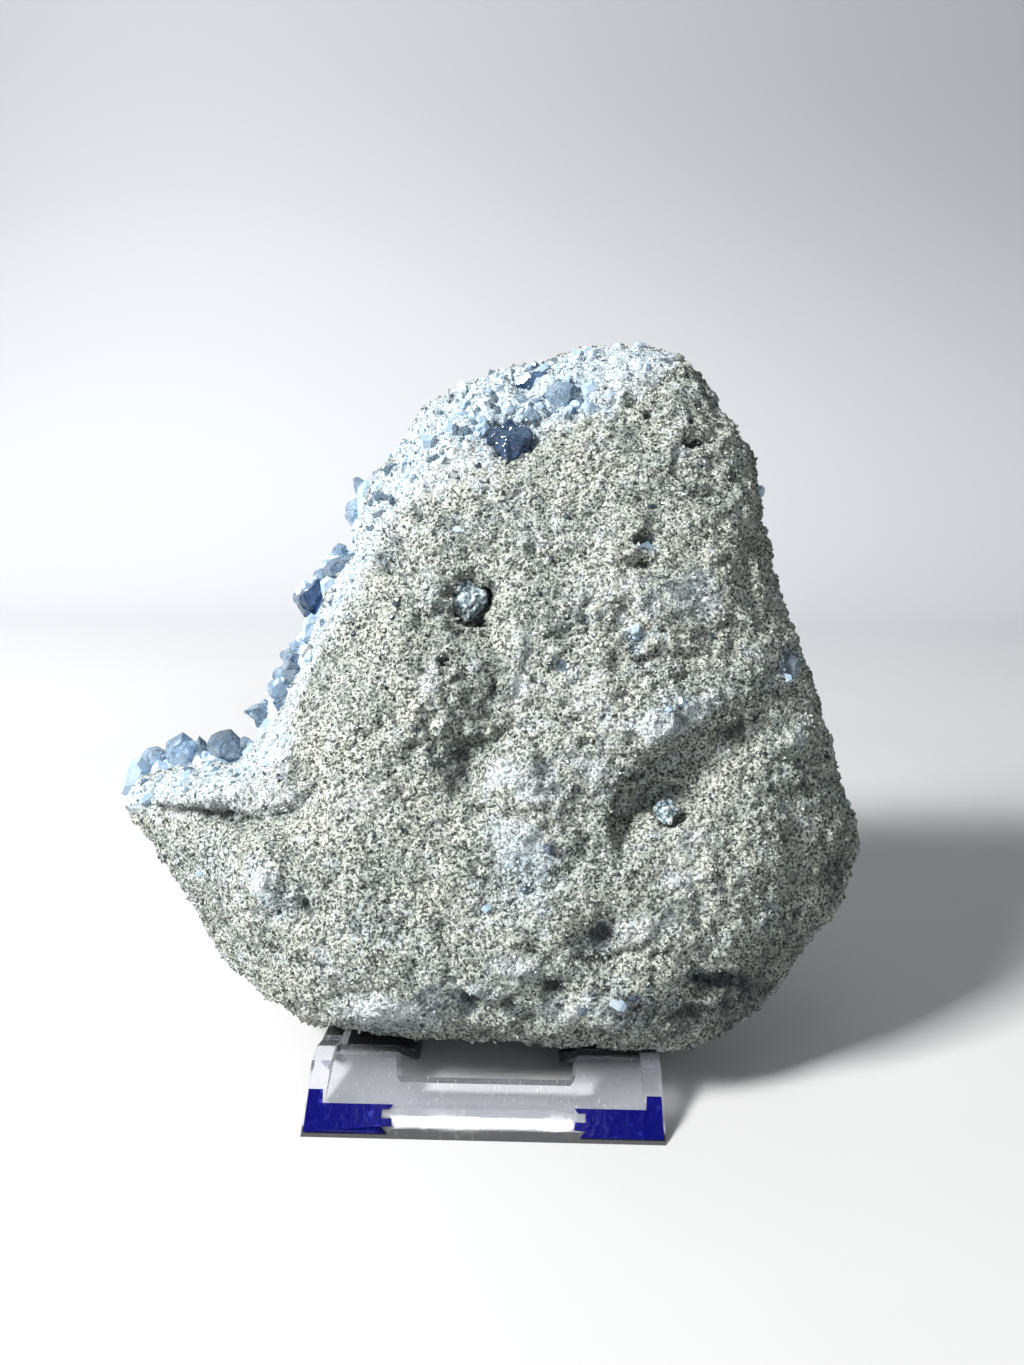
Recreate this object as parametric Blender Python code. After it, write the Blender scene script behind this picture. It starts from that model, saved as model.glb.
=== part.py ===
"""Celestite cluster: a piece of a crystal-lined geode that leans back on a clear one-piece easel.

The rock side of the geode faces the front, -Y, and the hollow with its crystals faces the back, +Y.
Units are metres and +Z is up. The stone is shaped upright in a frame of its own, with u to the right,
v up and w to the back, and is then leaned back and stood on the easel.
"""
import math
import random

import bmesh
import bpy
import numpy as np
from mathutils import Matrix, Vector, noise
from mathutils.bvhtree import BVHTree

NAME = "celestite_cluster"
MM = 0.001
GAP = 0.0003

# The stone as a whole
LEAN = math.radians(15.0)
STONE_FOOT = Vector((0.0, 0.042, 0.0085))
CORE = (-4 * MM, 46 * MM)
OUTLINE = (
    (32, 211), (47, 212), (60, 207), (69, 194), (79, 177), (83, 155), (88, 134), (95, 115), (101, 97),
    (105, 80), (112, 64), (109, 49), (102, 35), (91, 21), (78, 7), (61, -1), (33, -2), (3, 0), (-27, 1),
    (-51, 4), (-69, 13), (-85, 25), (-98, 44), (-112, 62), (-115, 71), (-107, 77), (-91, 81), (-78, 83),
    (-71, 92), (-65, 101), (-59, 114), (-55, 126), (-48, 140), (-42, 149), (-41, 160), (-37, 171),
    (-29, 181), (-23, 192), (-11, 200), (12, 208),
)
ROUNDNESS = 2.5
FRONT_DEPTH = 43 * MM
THINNER_LEDGE = 22 * MM
THINNER_TOP = 12 * MM
THINNER_RIGHT = 8 * MM
BACK_DEPTH = 38 * MM
BACK_SWELL = (2 * MM, 35 * MM)
UNDERSIDE_RISE = 5 * MM
STONE_DETAIL = 7
ROCK_TRIANGLES = 3000
CRUST_TRIANGLES = 1200

# The hollow of the geode: its floor, and how far its sides reach before they have risen by HOLLOW_RISE
HOLLOW_CENTRE = (-20 * MM, 105 * MM)
HOLLOW_FLOOR = -2 * MM
HOLLOW_RISE = 38 * MM
HOLLOW_REACH = {"left": 165 * MM, "right": 88 * MM, "up": 150 * MM, "down": 88 * MM}
CREST_BLEND = 7 * MM

# Dents and swellings of the rock side: u, v, half length, half width, turn in degrees, depth, in mm.
# The swells are broad noise over all of it: place in the noise, size of a swell, height in mm.
RELIEF = (
    (-9, 112, 24, 9, 88, 4.5),
    (3, 108, 20, 8, 88, -2.5),
    (-4, 89, 14, 8, 20, 5.0),
    (4, 79, 10, 13, 0, -2.0),
    (48, 76, 11, 9, 0, 8.0),
    (63, 91, 22, 6.5, 24, 4.0),
    (60, 101, 24, 9, 24, -2.5),
    (95, 57, 13, 7, 35, 4.0),
    (-76, 67, 26, 7.5, 2, 6.0),
    (-88, 78, 24, 6, 8, -3.0),
    (5, 178, 14, 10, 0, 4.0),
    (11, 195, 9, 7, 0, 4.0),
    (-7, 131, 9, 9, 0, 5.0),
    (86, 94, 12, 12, 0, -3.5),
    (67, 22, 15, 9, 15, 4.0),
    (33, 34, 10, 8, 0, 4.0),
    (19, 18, 10, 8, 0, 3.0),
    (-5, 14, 10, 7, 0, 3.0),
    (-53, 42, 8, 9, 0, 3.5),
    (-63, 50, 7, 14, 20, -2.5),
)
SWELLS = ((0.3, 47 * MM, 3.0), (1.7, 19 * MM, 1.3))

# The layer of small crystals that lines the hollow, and the crystals that stand on it
CRUST_DEPTH = 10 * MM
CRUST_PROUD = 1.2 * MM
OPEN_SIDE = (math.radians(92), math.radians(172))
OPEN_FADE = math.radians(22)
FIELD_INSIDE = 0.80
FIELD_OPEN = 1.28
LINING_CELL = 14 * MM
LINING_HALF = 135 * MM
LINING_MIDDLE = 105 * MM
LINING_TOP = 60 * MM
LINING_SHARE = 1.35
BEHIND_ALL = 90 * MM
CRYSTAL_SPACING = 20 * MM
CRYSTAL_START = (-10 * MM, 105 * MM)
CRYSTAL_ROWS = range(-9, 10)
CRYSTAL_COLUMNS = range(-10, 11)
CRYSTAL_SHAKE = 0.3
CRYSTAL_TILT = 0.45
CRYSTAL_FIELD = 0.84
STEEPEST_FOOT = 0.35
CRYSTAL_WIDTH = (13 * MM, 21 * MM)
CRYSTAL_LENGTH = (0.85, 1.25)
CRYSTAL_FLATNESS = (0.65, 0.95)
CRYSTAL_CHISEL = (0.1, 0.4)
CRYSTAL_SUNK = 3.5 * MM
SHAFT_SHARE = 0.64
SHAFT_TAPER = 0.94
CHISEL_TIP = 0.42
BLUNT_TIP = 0.62
CRYSTAL_SEED = 7

# How far back the crystals may reach before they meet the easel's back rest: at the stone's foot, what
# that loses per unit of height, and where the back rest ends
BACK_ROOM = 47.2 * MM
BACK_ROOM_SLOPE = 0.0567
BACK_ROOM_TOP = 188 * MM
BACK_ROOM_MARGIN = 16 * MM
BEND_TOP = 22 * MM
BEND_SLOPE = 0.6

# Crystals that show over the broken edge from the front: u, v, heading in degrees from +u towards +v,
# lean to the back in degrees, width, length, in mm
EDGE_LIFT = 5.5 * MM
EDGE_SUNK = 4 * MM
EDGE_FLATNESS = 0.9
EDGE_CHISEL = 0.6
EDGE_CRYSTALS = (
    (-111, 73, 175, 15, 10, 6),
    (-109, 78, 123, 15, 10, 7),
    (-101, 80, 85, 12, 14, 9),
    (-94, 80, 95, 20, 9, 7),
    (-86, 81, 91, 12, 15, 9),
    (-77, 82, 110, 20, 10, 5),
    (-69, 98, 197, 15, 11, 8),
    (-64, 106, 189, 20, 11, 6),
    (-61, 112, 170, 15, 10, 6),
    (-59, 120, 180, 15, 10, 6),
    (-55, 127, 165, 15, 10, 5),
    (-52, 135, 179, 10, 15, 10),
    (-46, 142, 143, 15, 13, 10),
    (-39, 155, 180, 20, 10, 7),
    (-37, 165, 172, 15, 13, 8),
    (-30, 175, 140, 20, 12, 8),
    (-23, 186, 146, 20, 12, 8),
    (-14, 195, 120, 20, 11, 7),
    (-2, 199, 105, 20, 10, 6),
)

# Small pockets in the rock side, each with its own crystals: name, u, v, radius, in mm. The rest are
# shares of the pocket's radius, measured along or across the rock's normal.
POCKETS = (
    ("pocket_crystal_crevice", 50, 71, 6.5),
    ("pocket_crystal_top", 5, 177, 7.5),
    ("pocket_crystal_left", -7, 130, 5.0),
)
POCKET_CRYSTALS = 4
POCKET_CENTRE = 0.25
POCKET_LUMP_CENTRE = -0.95
POCKET_LUMP = 0.6
POCKET_FOOT = -0.8
POCKET_FOOT_RING = 0.18
POCKET_SPREAD = (0.3, 0.6)
POCKET_CRYSTAL_WIDTH = 0.9
POCKET_CRYSTAL_LENGTH = 1.25

# The easel
EASEL_WIDTH = 100 * MM
SHEET = 2.6 * MM
FRONT_BAR_TOP = (7.2 * MM, 5.7 * MM)
RIDGE = (27.0 * MM, 11.8 * MM)
SEAT_FRONT = 42 * MM
SEAT_BACK = 80 * MM
REST_FOOT = (92 * MM, 15 * MM)
REST_TOP = (125.5 * MM, 176 * MM)
REST_CORNER = 10 * MM
WINDOW_WIDTH = 46.5 * MM
WINDOW_BEVEL = 3.2 * MM
WINDOW_FRONT = 16 * MM
WINDOW_TOP = 112 * MM
LEG_TOP = (114.5 * MM, 118 * MM)
LEG_FOOT = (160 * MM, 0.0)
LEG_MARGIN = 1.5 * MM
RIB_THICKNESS = 5.5 * MM
RIB_OUTLINE = ((0.5, 0.3), (16.9, 12.5), (24.0, 12.5), (30.0, 10.3), (40.0, 8.8), (74.0, 8.8), (93.0, 19.0),
               (94.0, 15.0), (84.0, 1.5), (78.0, 0.0), (2.0, 0.0))
LIP = (1.6 * MM, 1.3 * MM)
BEND_RADII = (1.2 * MM, 5 * MM, 6 * MM, 9 * MM, 10 * MM)
SEAT_START = SEAT_FRONT - 5 * MM
INSET = 0.01 * MM
CUT_LOW = -3 * MM
CUT_HIGH = 24 * MM
REST_WINDOW_LOW = 20 * MM
REST_WINDOW_CORNER = 0.1
CUT_DEPTH = 80 * MM

# The blue film on the outer thirds of the easel's front bar: half of it, in mm along the bar and up it
FILM_THICKNESS = 0.25 * MM
FILM = ((26.5, 1.2), (49.4, 1.2), (49.4, 12.6), (45.4, 12.6), (45.0, 8.9), (25.2, 8.9), (26.2, 7.6),
        (28.2, 7.6), (28.2, 5.2), (25.4, 5.2), (25.0, 3.2), (28.2, 3.0))


def start_clean():
    for thing in list(bpy.data.objects):
        bpy.data.objects.remove(thing, do_unlink=True)


def collection(title):
    group = bpy.data.collections.new(title)
    bpy.context.scene.collection.children.link(group)
    return group


def principled(title, colour, roughness, metallic=0.0, transmission=0.0, ior=1.5):
    material = bpy.data.materials.new(title)
    material.use_nodes = True
    shader = material.node_tree.nodes["Principled BSDF"]
    shader.inputs["Base Color"].default_value = (*colour, 1.0)
    shader.inputs["Roughness"].default_value = roughness
    shader.inputs["Metallic"].default_value = metallic
    shader.inputs["Transmission Weight"].default_value = transmission
    shader.inputs["IOR"].default_value = ior
    return material


def put(title, mesh, group, material=None):
    thing = bpy.data.objects.new(title, mesh)
    group.objects.link(thing)
    if material:
        mesh.materials.append(material)
    return thing


def from_bmesh(title, bm, group, material=None):
    mesh = bpy.data.meshes.new(title)
    bm.to_mesh(mesh)
    bm.free()
    return put(title, mesh, group, material)


def as_cutter(thing):
    thing.hide_render = True
    thing.display_type = "WIRE"


def evaluated_mesh(thing):
    bpy.context.view_layer.update()
    graph = bpy.context.evaluated_depsgraph_get()
    return bpy.data.meshes.new_from_object(thing.evaluated_get(graph), depsgraph=graph)


def apply_modifiers(thing):
    thing.data = evaluated_mesh(thing)
    thing.modifiers.clear()


def combine(thing, other, operation):
    """Cut, join or intersect an object with another, at once."""
    boolean = thing.modifiers.new(operation.lower(), "BOOLEAN")
    boolean.operation = operation
    boolean.solver = "EXACT"
    boolean.object = other
    apply_modifiers(thing)


def clean(thing, distance=0.001 * MM):
    """Merge what a cut left double and make the faces triangles."""
    bm = bmesh.new()
    bm.from_mesh(thing.data)
    bmesh.ops.remove_doubles(bm, verts=bm.verts, dist=distance)
    bmesh.ops.dissolve_degenerate(bm, edges=bm.edges, dist=distance)
    bmesh.ops.triangulate(bm, faces=bm.faces)
    bm.to_mesh(thing.data)
    bm.free()


def discard(*things):
    for thing in things:
        bpy.data.objects.remove(thing, do_unlink=True)


# Forms of the stone

def closed_spline(points, steps=12):
    """A smooth closed curve through the points."""
    count = len(points)
    curve = []
    for i in range(count):
        p0, p1, p2, p3 = (np.array(points[(i + k) % count], float) for k in (-1, 0, 1, 2))
        for t in np.arange(steps) / steps:
            bend = 2 * p0 - 5 * p1 + 4 * p2 - p3
            twist = 3 * p1 - 3 * p2 + p3 - p0
            curve.append(0.5 * (2 * p1 + (p2 - p0) * t + bend * t * t + twist * t ** 3))
    return np.array(curve)


def polar_outline():
    """The outline seen from CORE, as rising angles and the distances that belong to them."""
    curve = closed_spline(OUTLINE) * MM - np.array(CORE)
    angles = np.arctan2(curve[:, 1], curve[:, 0])
    distances = np.hypot(curve[:, 0], curve[:, 1])
    order = np.argsort(angles)
    return angles[order], distances[order]


OUTLINE_ANGLES, OUTLINE_DISTANCES = polar_outline()


def outline_reach(angle):
    return float(np.interp(angle, OUTLINE_ANGLES, OUTLINE_DISTANCES, period=2 * math.pi))


def smooth_step(low, high, value):
    t = min(1.0, max(0.0, (value - low) / (high - low)))
    return t * t * (3 - 2 * t)


def smooth_min(a, b, blend):
    h = max(blend - abs(a - b), 0.0) / blend
    return min(a, b) - h * h * blend / 4


def front_depth(u, v):
    """How far the rock side stands out in front of the outline's plane."""
    ledge = smooth_step(-50 * MM, -110 * MM, u)
    top = smooth_step(130 * MM, 215 * MM, v)
    right = smooth_step(50 * MM, 115 * MM, u)
    return FRONT_DEPTH - THINNER_LEDGE * ledge - THINNER_TOP * top - THINNER_RIGHT * right


def relief(u, v):
    depth = 0.0
    for cu, cv, length, width, turn, deep in RELIEF:
        du = u / MM - cu
        dv = v / MM - cv
        c = math.cos(math.radians(turn))
        s = math.sin(math.radians(turn))
        along = (du * c + dv * s) / length
        across = (dv * c - du * s) / width
        depth += deep * math.exp(-(along * along + across * across))
    for place, size, height in SWELLS:
        depth += height * noise.noise(Vector((u, v, place)) / size)
    return depth * MM


def hollow(u, v):
    du = u - HOLLOW_CENTRE[0]
    dv = v - HOLLOW_CENTRE[1]
    across = du / HOLLOW_REACH["left" if du < 0 else "right"]
    along = dv / HOLLOW_REACH["down" if dv < 0 else "up"]
    return HOLLOW_FLOOR + HOLLOW_RISE * (across * across + along * along)


def underside_rise(u, v, w):
    """The underside is worn level to the right and behind, where it sits on the easel."""
    sideways = smooth_step(-30 * MM, 20 * MM, u)
    behind = smooth_step(-18 * MM, 4 * MM, w)
    low = smooth_step(40 * MM, 0.0, v)
    return UNDERSIDE_RISE * sideways * behind * low


def stone_point(direction):
    """Where a point of the unit ball goes on the whole piece of geode."""
    flat = min(1.0, math.hypot(direction.x, direction.z))
    angle = math.atan2(direction.z, direction.x)
    spread = flat ** (2 / ROUNDNESS)
    rise = (1 - flat * flat) ** (1 / ROUNDNESS)
    u = CORE[0] + spread * outline_reach(angle) * math.cos(angle)
    v = CORE[1] + spread * outline_reach(angle) * math.sin(angle)
    if direction.y < 0:
        w = (relief(u, v) - front_depth(u, v)) * rise
    else:
        height, size = BACK_SWELL
        back = BACK_DEPTH + height * noise.noise(Vector((u, v, 5.1)) / size)
        w = smooth_min(back * rise, hollow(u, v), CREST_BLEND)
    return Vector((u, w, v + underside_rise(u, v, w)))


def whole_stone(group):
    """The piece of geode as one blob, before its crystal lining is parted from the rock."""
    bm = bmesh.new()
    bmesh.ops.create_icosphere(bm, subdivisions=STONE_DETAIL, radius=1.0)
    for vert in bm.verts:
        vert.co = stone_point(vert.co.normalized())
    return from_bmesh("whole_stone", bm, group)


def thinned(title, blob, triangles, group, proud=0.0):
    """A copy of the blob with fewer triangles, standing proud of it where asked."""
    thing = put(title, blob.data.copy(), group)
    fewer = thing.modifiers.new("fewer", "DECIMATE")
    fewer.ratio = triangles / len(blob.data.polygons)
    if proud:
        outwards = thing.modifiers.new("outwards", "DISPLACE")
        outwards.strength = proud
        outwards.mid_level = 0.0
    apply_modifiers(thing)
    return thing


def field_share(u, v):
    """How far out a place is in the crystal field: 0 at the core, 1 at the field's edge."""
    du = u - CORE[0]
    dv = v - CORE[1]
    angle = math.atan2(dv, du) % (2 * math.pi)
    opened = smooth_step(OPEN_SIDE[0] - OPEN_FADE, OPEN_SIDE[0], angle)
    opened *= 1 - smooth_step(OPEN_SIDE[1], OPEN_SIDE[1] + OPEN_FADE, angle)
    edge = FIELD_INSIDE + (FIELD_OPEN - FIELD_INSIDE) * opened
    return math.hypot(du, dv) / (outline_reach(angle) * edge)


def lining_floor(u, v):
    share = min(field_share(u, v), LINING_SHARE)
    return min(hollow(u, v) - CRUST_DEPTH * (1 - share ** 4), LINING_TOP)


def lining_block(group, lift):
    """Everything behind the floor of the crystal lining, as one block."""
    bm = bmesh.new()
    cells = round(2 * LINING_HALF / LINING_CELL)
    bmesh.ops.create_grid(bm, x_segments=cells, y_segments=cells, size=LINING_HALF)
    for vert in bm.verts:
        u = vert.co.x
        v = vert.co.y + LINING_MIDDLE
        vert.co = (u, lining_floor(u, v) + lift, v)
    sheet = list(bm.faces)
    grown = bmesh.ops.extrude_face_region(bm, geom=sheet)["geom"]
    for vert in (g for g in grown if isinstance(g, bmesh.types.BMVert)):
        vert.co.y = BEHIND_ALL
    bmesh.ops.recalc_face_normals(bm, faces=bm.faces)
    bmesh.ops.triangulate(bm, faces=bm.faces)
    return from_bmesh("lining_block", bm, group)


# Crystals

def add_crystal(bm, place, width, length, sides, flatness, chisel, point=CHISEL_TIP):
    """A prism with a blunt point, or with a chisel edge where chisel is small."""
    shaft = length * SHAFT_SHARE
    made = bmesh.ops.create_cone(
        bm, cap_ends=True, segments=sides, radius1=width / 2, radius2=width / 2 * SHAFT_TAPER, depth=shaft,
        matrix=Matrix.Translation((0, 0, shaft / 2)))
    faces = {face for vert in made["verts"] for face in vert.link_faces}
    top = max(faces, key=lambda face: face.calc_center_median().z)
    tip = bmesh.ops.extrude_discrete_faces(bm, faces=[top])["faces"][0]
    for vert in tip.verts:
        vert.co.x *= chisel
        vert.co.y *= point
        vert.co.z = length
    verts = set(made["verts"]) | set(tip.verts)
    bmesh.ops.scale(bm, vec=(1.0, flatness, 1.0), verts=list(verts))
    bmesh.ops.transform(bm, matrix=place, verts=list(verts))


def aimed(point, direction, twist):
    return Matrix.Translation(point) @ direction.to_track_quat("Z", "Y").to_matrix().to_4x4() \
        @ Matrix.Rotation(twist, 4, "Z")


def past_back_rest(verts):
    """How far the furthest of the vertices would reach past the easel's back rest, in the stone's frame."""
    reach = 0.0
    for vert in verts:
        u, w, v = vert.co
        if abs(u) < EASEL_WIDTH / 2 + BACK_ROOM_MARGIN and v < BACK_ROOM_TOP:
            bend = max(0.0, BEND_TOP - v) * BEND_SLOPE
            reach = max(reach, w + BACK_ROOM_SLOPE * v + bend - BACK_ROOM)
    return reach


def grow(thing, place, width, length, sides, flatness, chisel, point=CHISEL_TIP):
    """Join one more crystal to what has grown so far, sunk as deep as the back rest asks for."""
    bm = bmesh.new()
    add_crystal(bm, place, width, length, sides, flatness, chisel, point)
    bmesh.ops.translate(bm, vec=(0, -past_back_rest(bm.verts), 0), verts=bm.verts)
    crystal = from_bmesh("crystal", bm, thing.users_collection[0])
    combine(thing, crystal, "UNION")
    discard(crystal)


def field_places(tree, rng):
    """Places and headings of the crystals over the hollow, on a loosened triangular grid."""
    row_step = CRYSTAL_SPACING * math.sqrt(3) / 2
    shake = CRYSTAL_SHAKE * CRYSTAL_SPACING
    for row in CRYSTAL_ROWS:
        for column in CRYSTAL_COLUMNS:
            shake_u = rng.uniform(-shake, shake)
            shake_v = rng.uniform(-shake, shake)
            tilt = Vector([rng.uniform(-CRYSTAL_TILT, CRYSTAL_TILT) for _ in range(3)])
            u = CRYSTAL_START[0] + (column + 0.5 * (row % 2)) * CRYSTAL_SPACING + shake_u
            v = CRYSTAL_START[1] + row * row_step + shake_v
            if field_share(u, v) > CRYSTAL_FIELD:
                continue
            spot, normal, _, _ = tree.ray_cast(Vector((u, BEHIND_ALL, v)), Vector((0, -1, 0)))
            if spot is None or normal.y < STEEPEST_FOOT:
                continue
            yield spot, (normal + tilt).normalized()


def druse(crust, cutters, material):
    """The lining and its crystals, grown together into one solid, behind the face that they grew from."""
    rng = random.Random(CRYSTAL_SEED)
    tree = BVHTree.FromPolygons([v.co for v in crust.data.vertices],
                                [p.vertices for p in crust.data.polygons])
    for spot, heading in field_places(tree, rng):
        width = rng.uniform(*CRYSTAL_WIDTH)
        length = width * rng.uniform(*CRYSTAL_LENGTH)
        sides = rng.choice((4, 4, 5))
        place = aimed(spot - heading * CRYSTAL_SUNK, heading, rng.uniform(0, math.pi))
        flatness = rng.uniform(*CRYSTAL_FLATNESS)
        chisel = rng.uniform(*CRYSTAL_CHISEL)
        grow(crust, place, width, length, sides, flatness, chisel)
    for u, v, heading, lean, width, length in EDGE_CRYSTALS:
        turn = math.radians(heading)
        back = math.radians(lean)
        way = Vector((math.cos(turn) * math.cos(back), math.sin(back), math.sin(turn) * math.cos(back)))
        rim = Vector((u * MM, lining_floor(u * MM, v * MM) + EDGE_LIFT, v * MM))
        place = aimed(rim - way * EDGE_SUNK, way, rng.uniform(0, math.pi))
        sides = rng.choice((4, 5))
        grow(crust, place, width * MM, length * MM + EDGE_SUNK, sides, EDGE_FLATNESS, EDGE_CHISEL, BLUNT_TIP)
    behind = lining_block(cutters, GAP)
    combine(crust, behind, "INTERSECT")
    discard(behind)
    clean(crust)
    crust.data.materials.clear()
    crust.data.materials.append(material)
    crust.name = "celestite_druse"
    return crust


def pocket_ball(group, centre, radius):
    bm = bmesh.new()
    bmesh.ops.create_icosphere(bm, subdivisions=2, radius=radius, matrix=Matrix.Translation(centre))
    return from_bmesh("pocket_ball", bm, group)


def pocket(group, matrix_rock, title, u, v, radius, material):
    """Hollow a pocket out of the rock side and seat a few small crystals, grown together, in it."""
    rng = random.Random(title)
    radius *= MM
    tree = BVHTree.FromPolygons([vert.co for vert in matrix_rock.data.vertices],
                                [p.vertices for p in matrix_rock.data.polygons])
    spot, normal, _, _ = tree.ray_cast(Vector((u * MM, -BEHIND_ALL, v * MM)), Vector((0, 1, 0)))
    centre = spot + normal * radius * POCKET_CENTRE
    ball = pocket_ball(group, centre, radius)
    combine(matrix_rock, ball, "DIFFERENCE")
    lump = pocket_ball(group, spot + normal * radius * POCKET_LUMP_CENTRE, radius * POCKET_LUMP)
    lump.name = title
    for i in range(POCKET_CRYSTALS):
        turn = math.tau * i / POCKET_CRYSTALS
        side = Vector((math.cos(turn), 0, math.sin(turn)))
        way = (normal + side * rng.uniform(*POCKET_SPREAD)).normalized()
        foot = spot + normal * radius * POCKET_FOOT + side * radius * POCKET_FOOT_RING
        place = aimed(foot, way, rng.uniform(0, math.pi))
        grow(lump, place, radius * POCKET_CRYSTAL_WIDTH, radius * POCKET_CRYSTAL_LENGTH, 4, 0.8, 0.3)
    seat = pocket_ball(group, centre, radius - GAP)
    combine(lump, seat, "INTERSECT")
    clean(lump)
    lump.data.materials.clear()
    lump.data.materials.append(material)
    discard(ball, seat)
    return lump


# The easel

def flat_outline(title, group, points, half_width, material=None):
    """A closed outline in the easel's side view, given thickness to both sides of its middle."""
    curve = bpy.data.curves.new(title, "CURVE")
    curve.dimensions = "2D"
    curve.fill_mode = "BOTH"
    curve.extrude = half_width
    spline = curve.splines.new("POLY")
    spline.points.add(len(points) - 1)
    for point, (a, b) in zip(spline.points, points):
        point.co = (a, b, 0.0, 1.0)
    spline.use_cyclic_u = True
    thing = bpy.data.objects.new(title, curve)
    group.objects.link(thing)
    mesh = evaluated_mesh(thing)
    discard(thing)
    bm = bmesh.new()
    bm.from_mesh(mesh)
    bmesh.ops.remove_doubles(bm, verts=bm.verts, dist=0.01 * MM)
    bmesh.ops.recalc_face_normals(bm, faces=bm.faces)
    bm.to_mesh(mesh)
    bm.free()
    return put(title, mesh, group, material)


def stand_up(thing, x=0.0):
    """Turn a side view, drawn in XY, so that its X runs to the back and its Y runs up."""
    turn = Matrix(((0, 0, 1), (1, 0, 0), (0, 1, 0))).to_4x4()
    thing.data.transform(Matrix.Translation((x, 0, 0)) @ turn)
    return thing


def rounded(points, radii, steps=4):
    """An open line whose inner corners are rounded, each by its own radius."""
    line = [Vector(points[0])]
    for before, corner, after, radius in zip(points, points[1:], points[2:], radii):
        corner = Vector(corner)
        into = (Vector(before) - corner).normalized()
        out = (Vector(after) - corner).normalized()
        reach = radius / math.tan(into.angle(out) / 2)
        start = corner + into * reach
        end = corner + out * reach
        for i in range(steps + 1):
            t = i / steps
            line.append(start * (1 - t) ** 2 + corner * 2 * t * (1 - t) + end * t * t)
    line.append(Vector(points[-1]))
    return line


def thick_line(line, thickness):
    """The outline of a sheet whose upper side is the line."""
    lower = []
    for i, point in enumerate(line):
        before = line[max(i - 1, 0)]
        after = line[min(i + 1, len(line) - 1)]
        along = (after - before).normalized()
        lower.append(point + Vector((along.y, -along.x)) * thickness)
    return [tuple(p) for p in line] + [tuple(p) for p in reversed(lower)]


def easel_sheet(group):
    """Front bar, deck, seat and back rest, bent from one sheet."""
    corners = [LIP, FRONT_BAR_TOP, RIDGE, (SEAT_START, SHEET), (SEAT_BACK, SHEET), REST_FOOT, REST_TOP]
    line = rounded(corners, BEND_RADII)
    return stand_up(flat_outline("easel", group, thick_line(line, SHEET), EASEL_WIDTH / 2))


def front_bar(group):
    top_y, top_z = FRONT_BAR_TOP
    points = [(0.0, 0.0), (top_y, top_z), (top_y + 1.5 * MM, top_z - 1.5 * MM), (SHEET, 0.0)]
    return stand_up(flat_outline("front_bar", group, points, EASEL_WIDTH / 2 - INSET))


def rib(group, side):
    points = [(y * MM, z * MM) for y, z in RIB_OUTLINE]
    thing = flat_outline("rib", group, points, RIB_THICKNESS / 2)
    return stand_up(thing, side * ((EASEL_WIDTH - RIB_THICKNESS) / 2 - 2 * INSET))


def leg(group):
    y_top, z_top = LEG_TOP
    y_foot, z_foot = LEG_FOOT
    way = (Vector(LEG_FOOT) - Vector(LEG_TOP)).normalized()
    line = [Vector((y_top, z_top)), Vector((y_foot, z_foot)) + way * SHEET]
    points = thick_line(line, -SHEET)
    return stand_up(flat_outline("leg", group, points, WINDOW_WIDTH / 2 - LEG_MARGIN))


def window_cutter(group):
    """The opening through the middle of the deck and the seat, wider at its top than at its bottom."""
    bm = bmesh.new()
    bmesh.ops.create_cube(bm, size=1.0)
    depth = SEAT_BACK + 6 * MM - WINDOW_FRONT
    for vert in bm.verts:
        high = vert.co.z > 0
        half = WINDOW_WIDTH / 2 + (WINDOW_BEVEL * 3 if high else -WINDOW_BEVEL)
        vert.co.x = math.copysign(half, vert.co.x)
        vert.co.z = CUT_HIGH if high else CUT_LOW
        vert.co.y = WINDOW_FRONT + (0.0 if vert.co.y < 0 else depth)
    cutter = from_bmesh("window_cutter", bm, group)
    as_cutter(cutter)
    return cutter


def rest_cutter(group):
    """The opening in the back rest that the leg was folded out of."""
    bm = bmesh.new()
    bmesh.ops.create_cube(bm, size=1.0)
    bmesh.ops.bevel(bm, geom=[e for e in bm.edges if abs((e.verts[0].co - e.verts[1].co).y) > 0.5],
                    offset=REST_WINDOW_CORNER, segments=4, affect="EDGES", profile=0.5)
    size = (WINDOW_WIDTH, CUT_DEPTH, WINDOW_TOP - REST_WINDOW_LOW)
    middle = (0, (REST_FOOT[0] + LEG_TOP[0]) / 2, (WINDOW_TOP + REST_WINDOW_LOW) / 2)
    bmesh.ops.scale(bm, vec=size, verts=bm.verts)
    bmesh.ops.translate(bm, vec=middle, verts=bm.verts)
    cutter = from_bmesh("rest_cutter", bm, group)
    as_cutter(cutter)
    return cutter


def corner_cutter(group, side):
    """What the rounded upper corner of the back rest leaves out."""
    x = side * EASEL_WIDTH / 2
    z = REST_TOP[1]
    points = [(x + side * 4 * MM, z - REST_CORNER)]
    for i in range(9):
        turn = math.pi / 2 * i / 8
        points.append((x - side * REST_CORNER * (1 - math.cos(turn)),
                       z - REST_CORNER * (1 - math.sin(turn))))
    points += [(x - side * REST_CORNER, z + 6 * MM), (x + side * 4 * MM, z + 6 * MM)]
    if side < 0:
        points.reverse()
    thing = flat_outline("corner_cutter", group, points, 30 * MM)
    thing.data.transform(Matrix.Translation((0, REST_TOP[0], 0)) @ Matrix.Rotation(math.pi / 2, 4, "X"))
    as_cutter(thing)
    return thing


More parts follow.
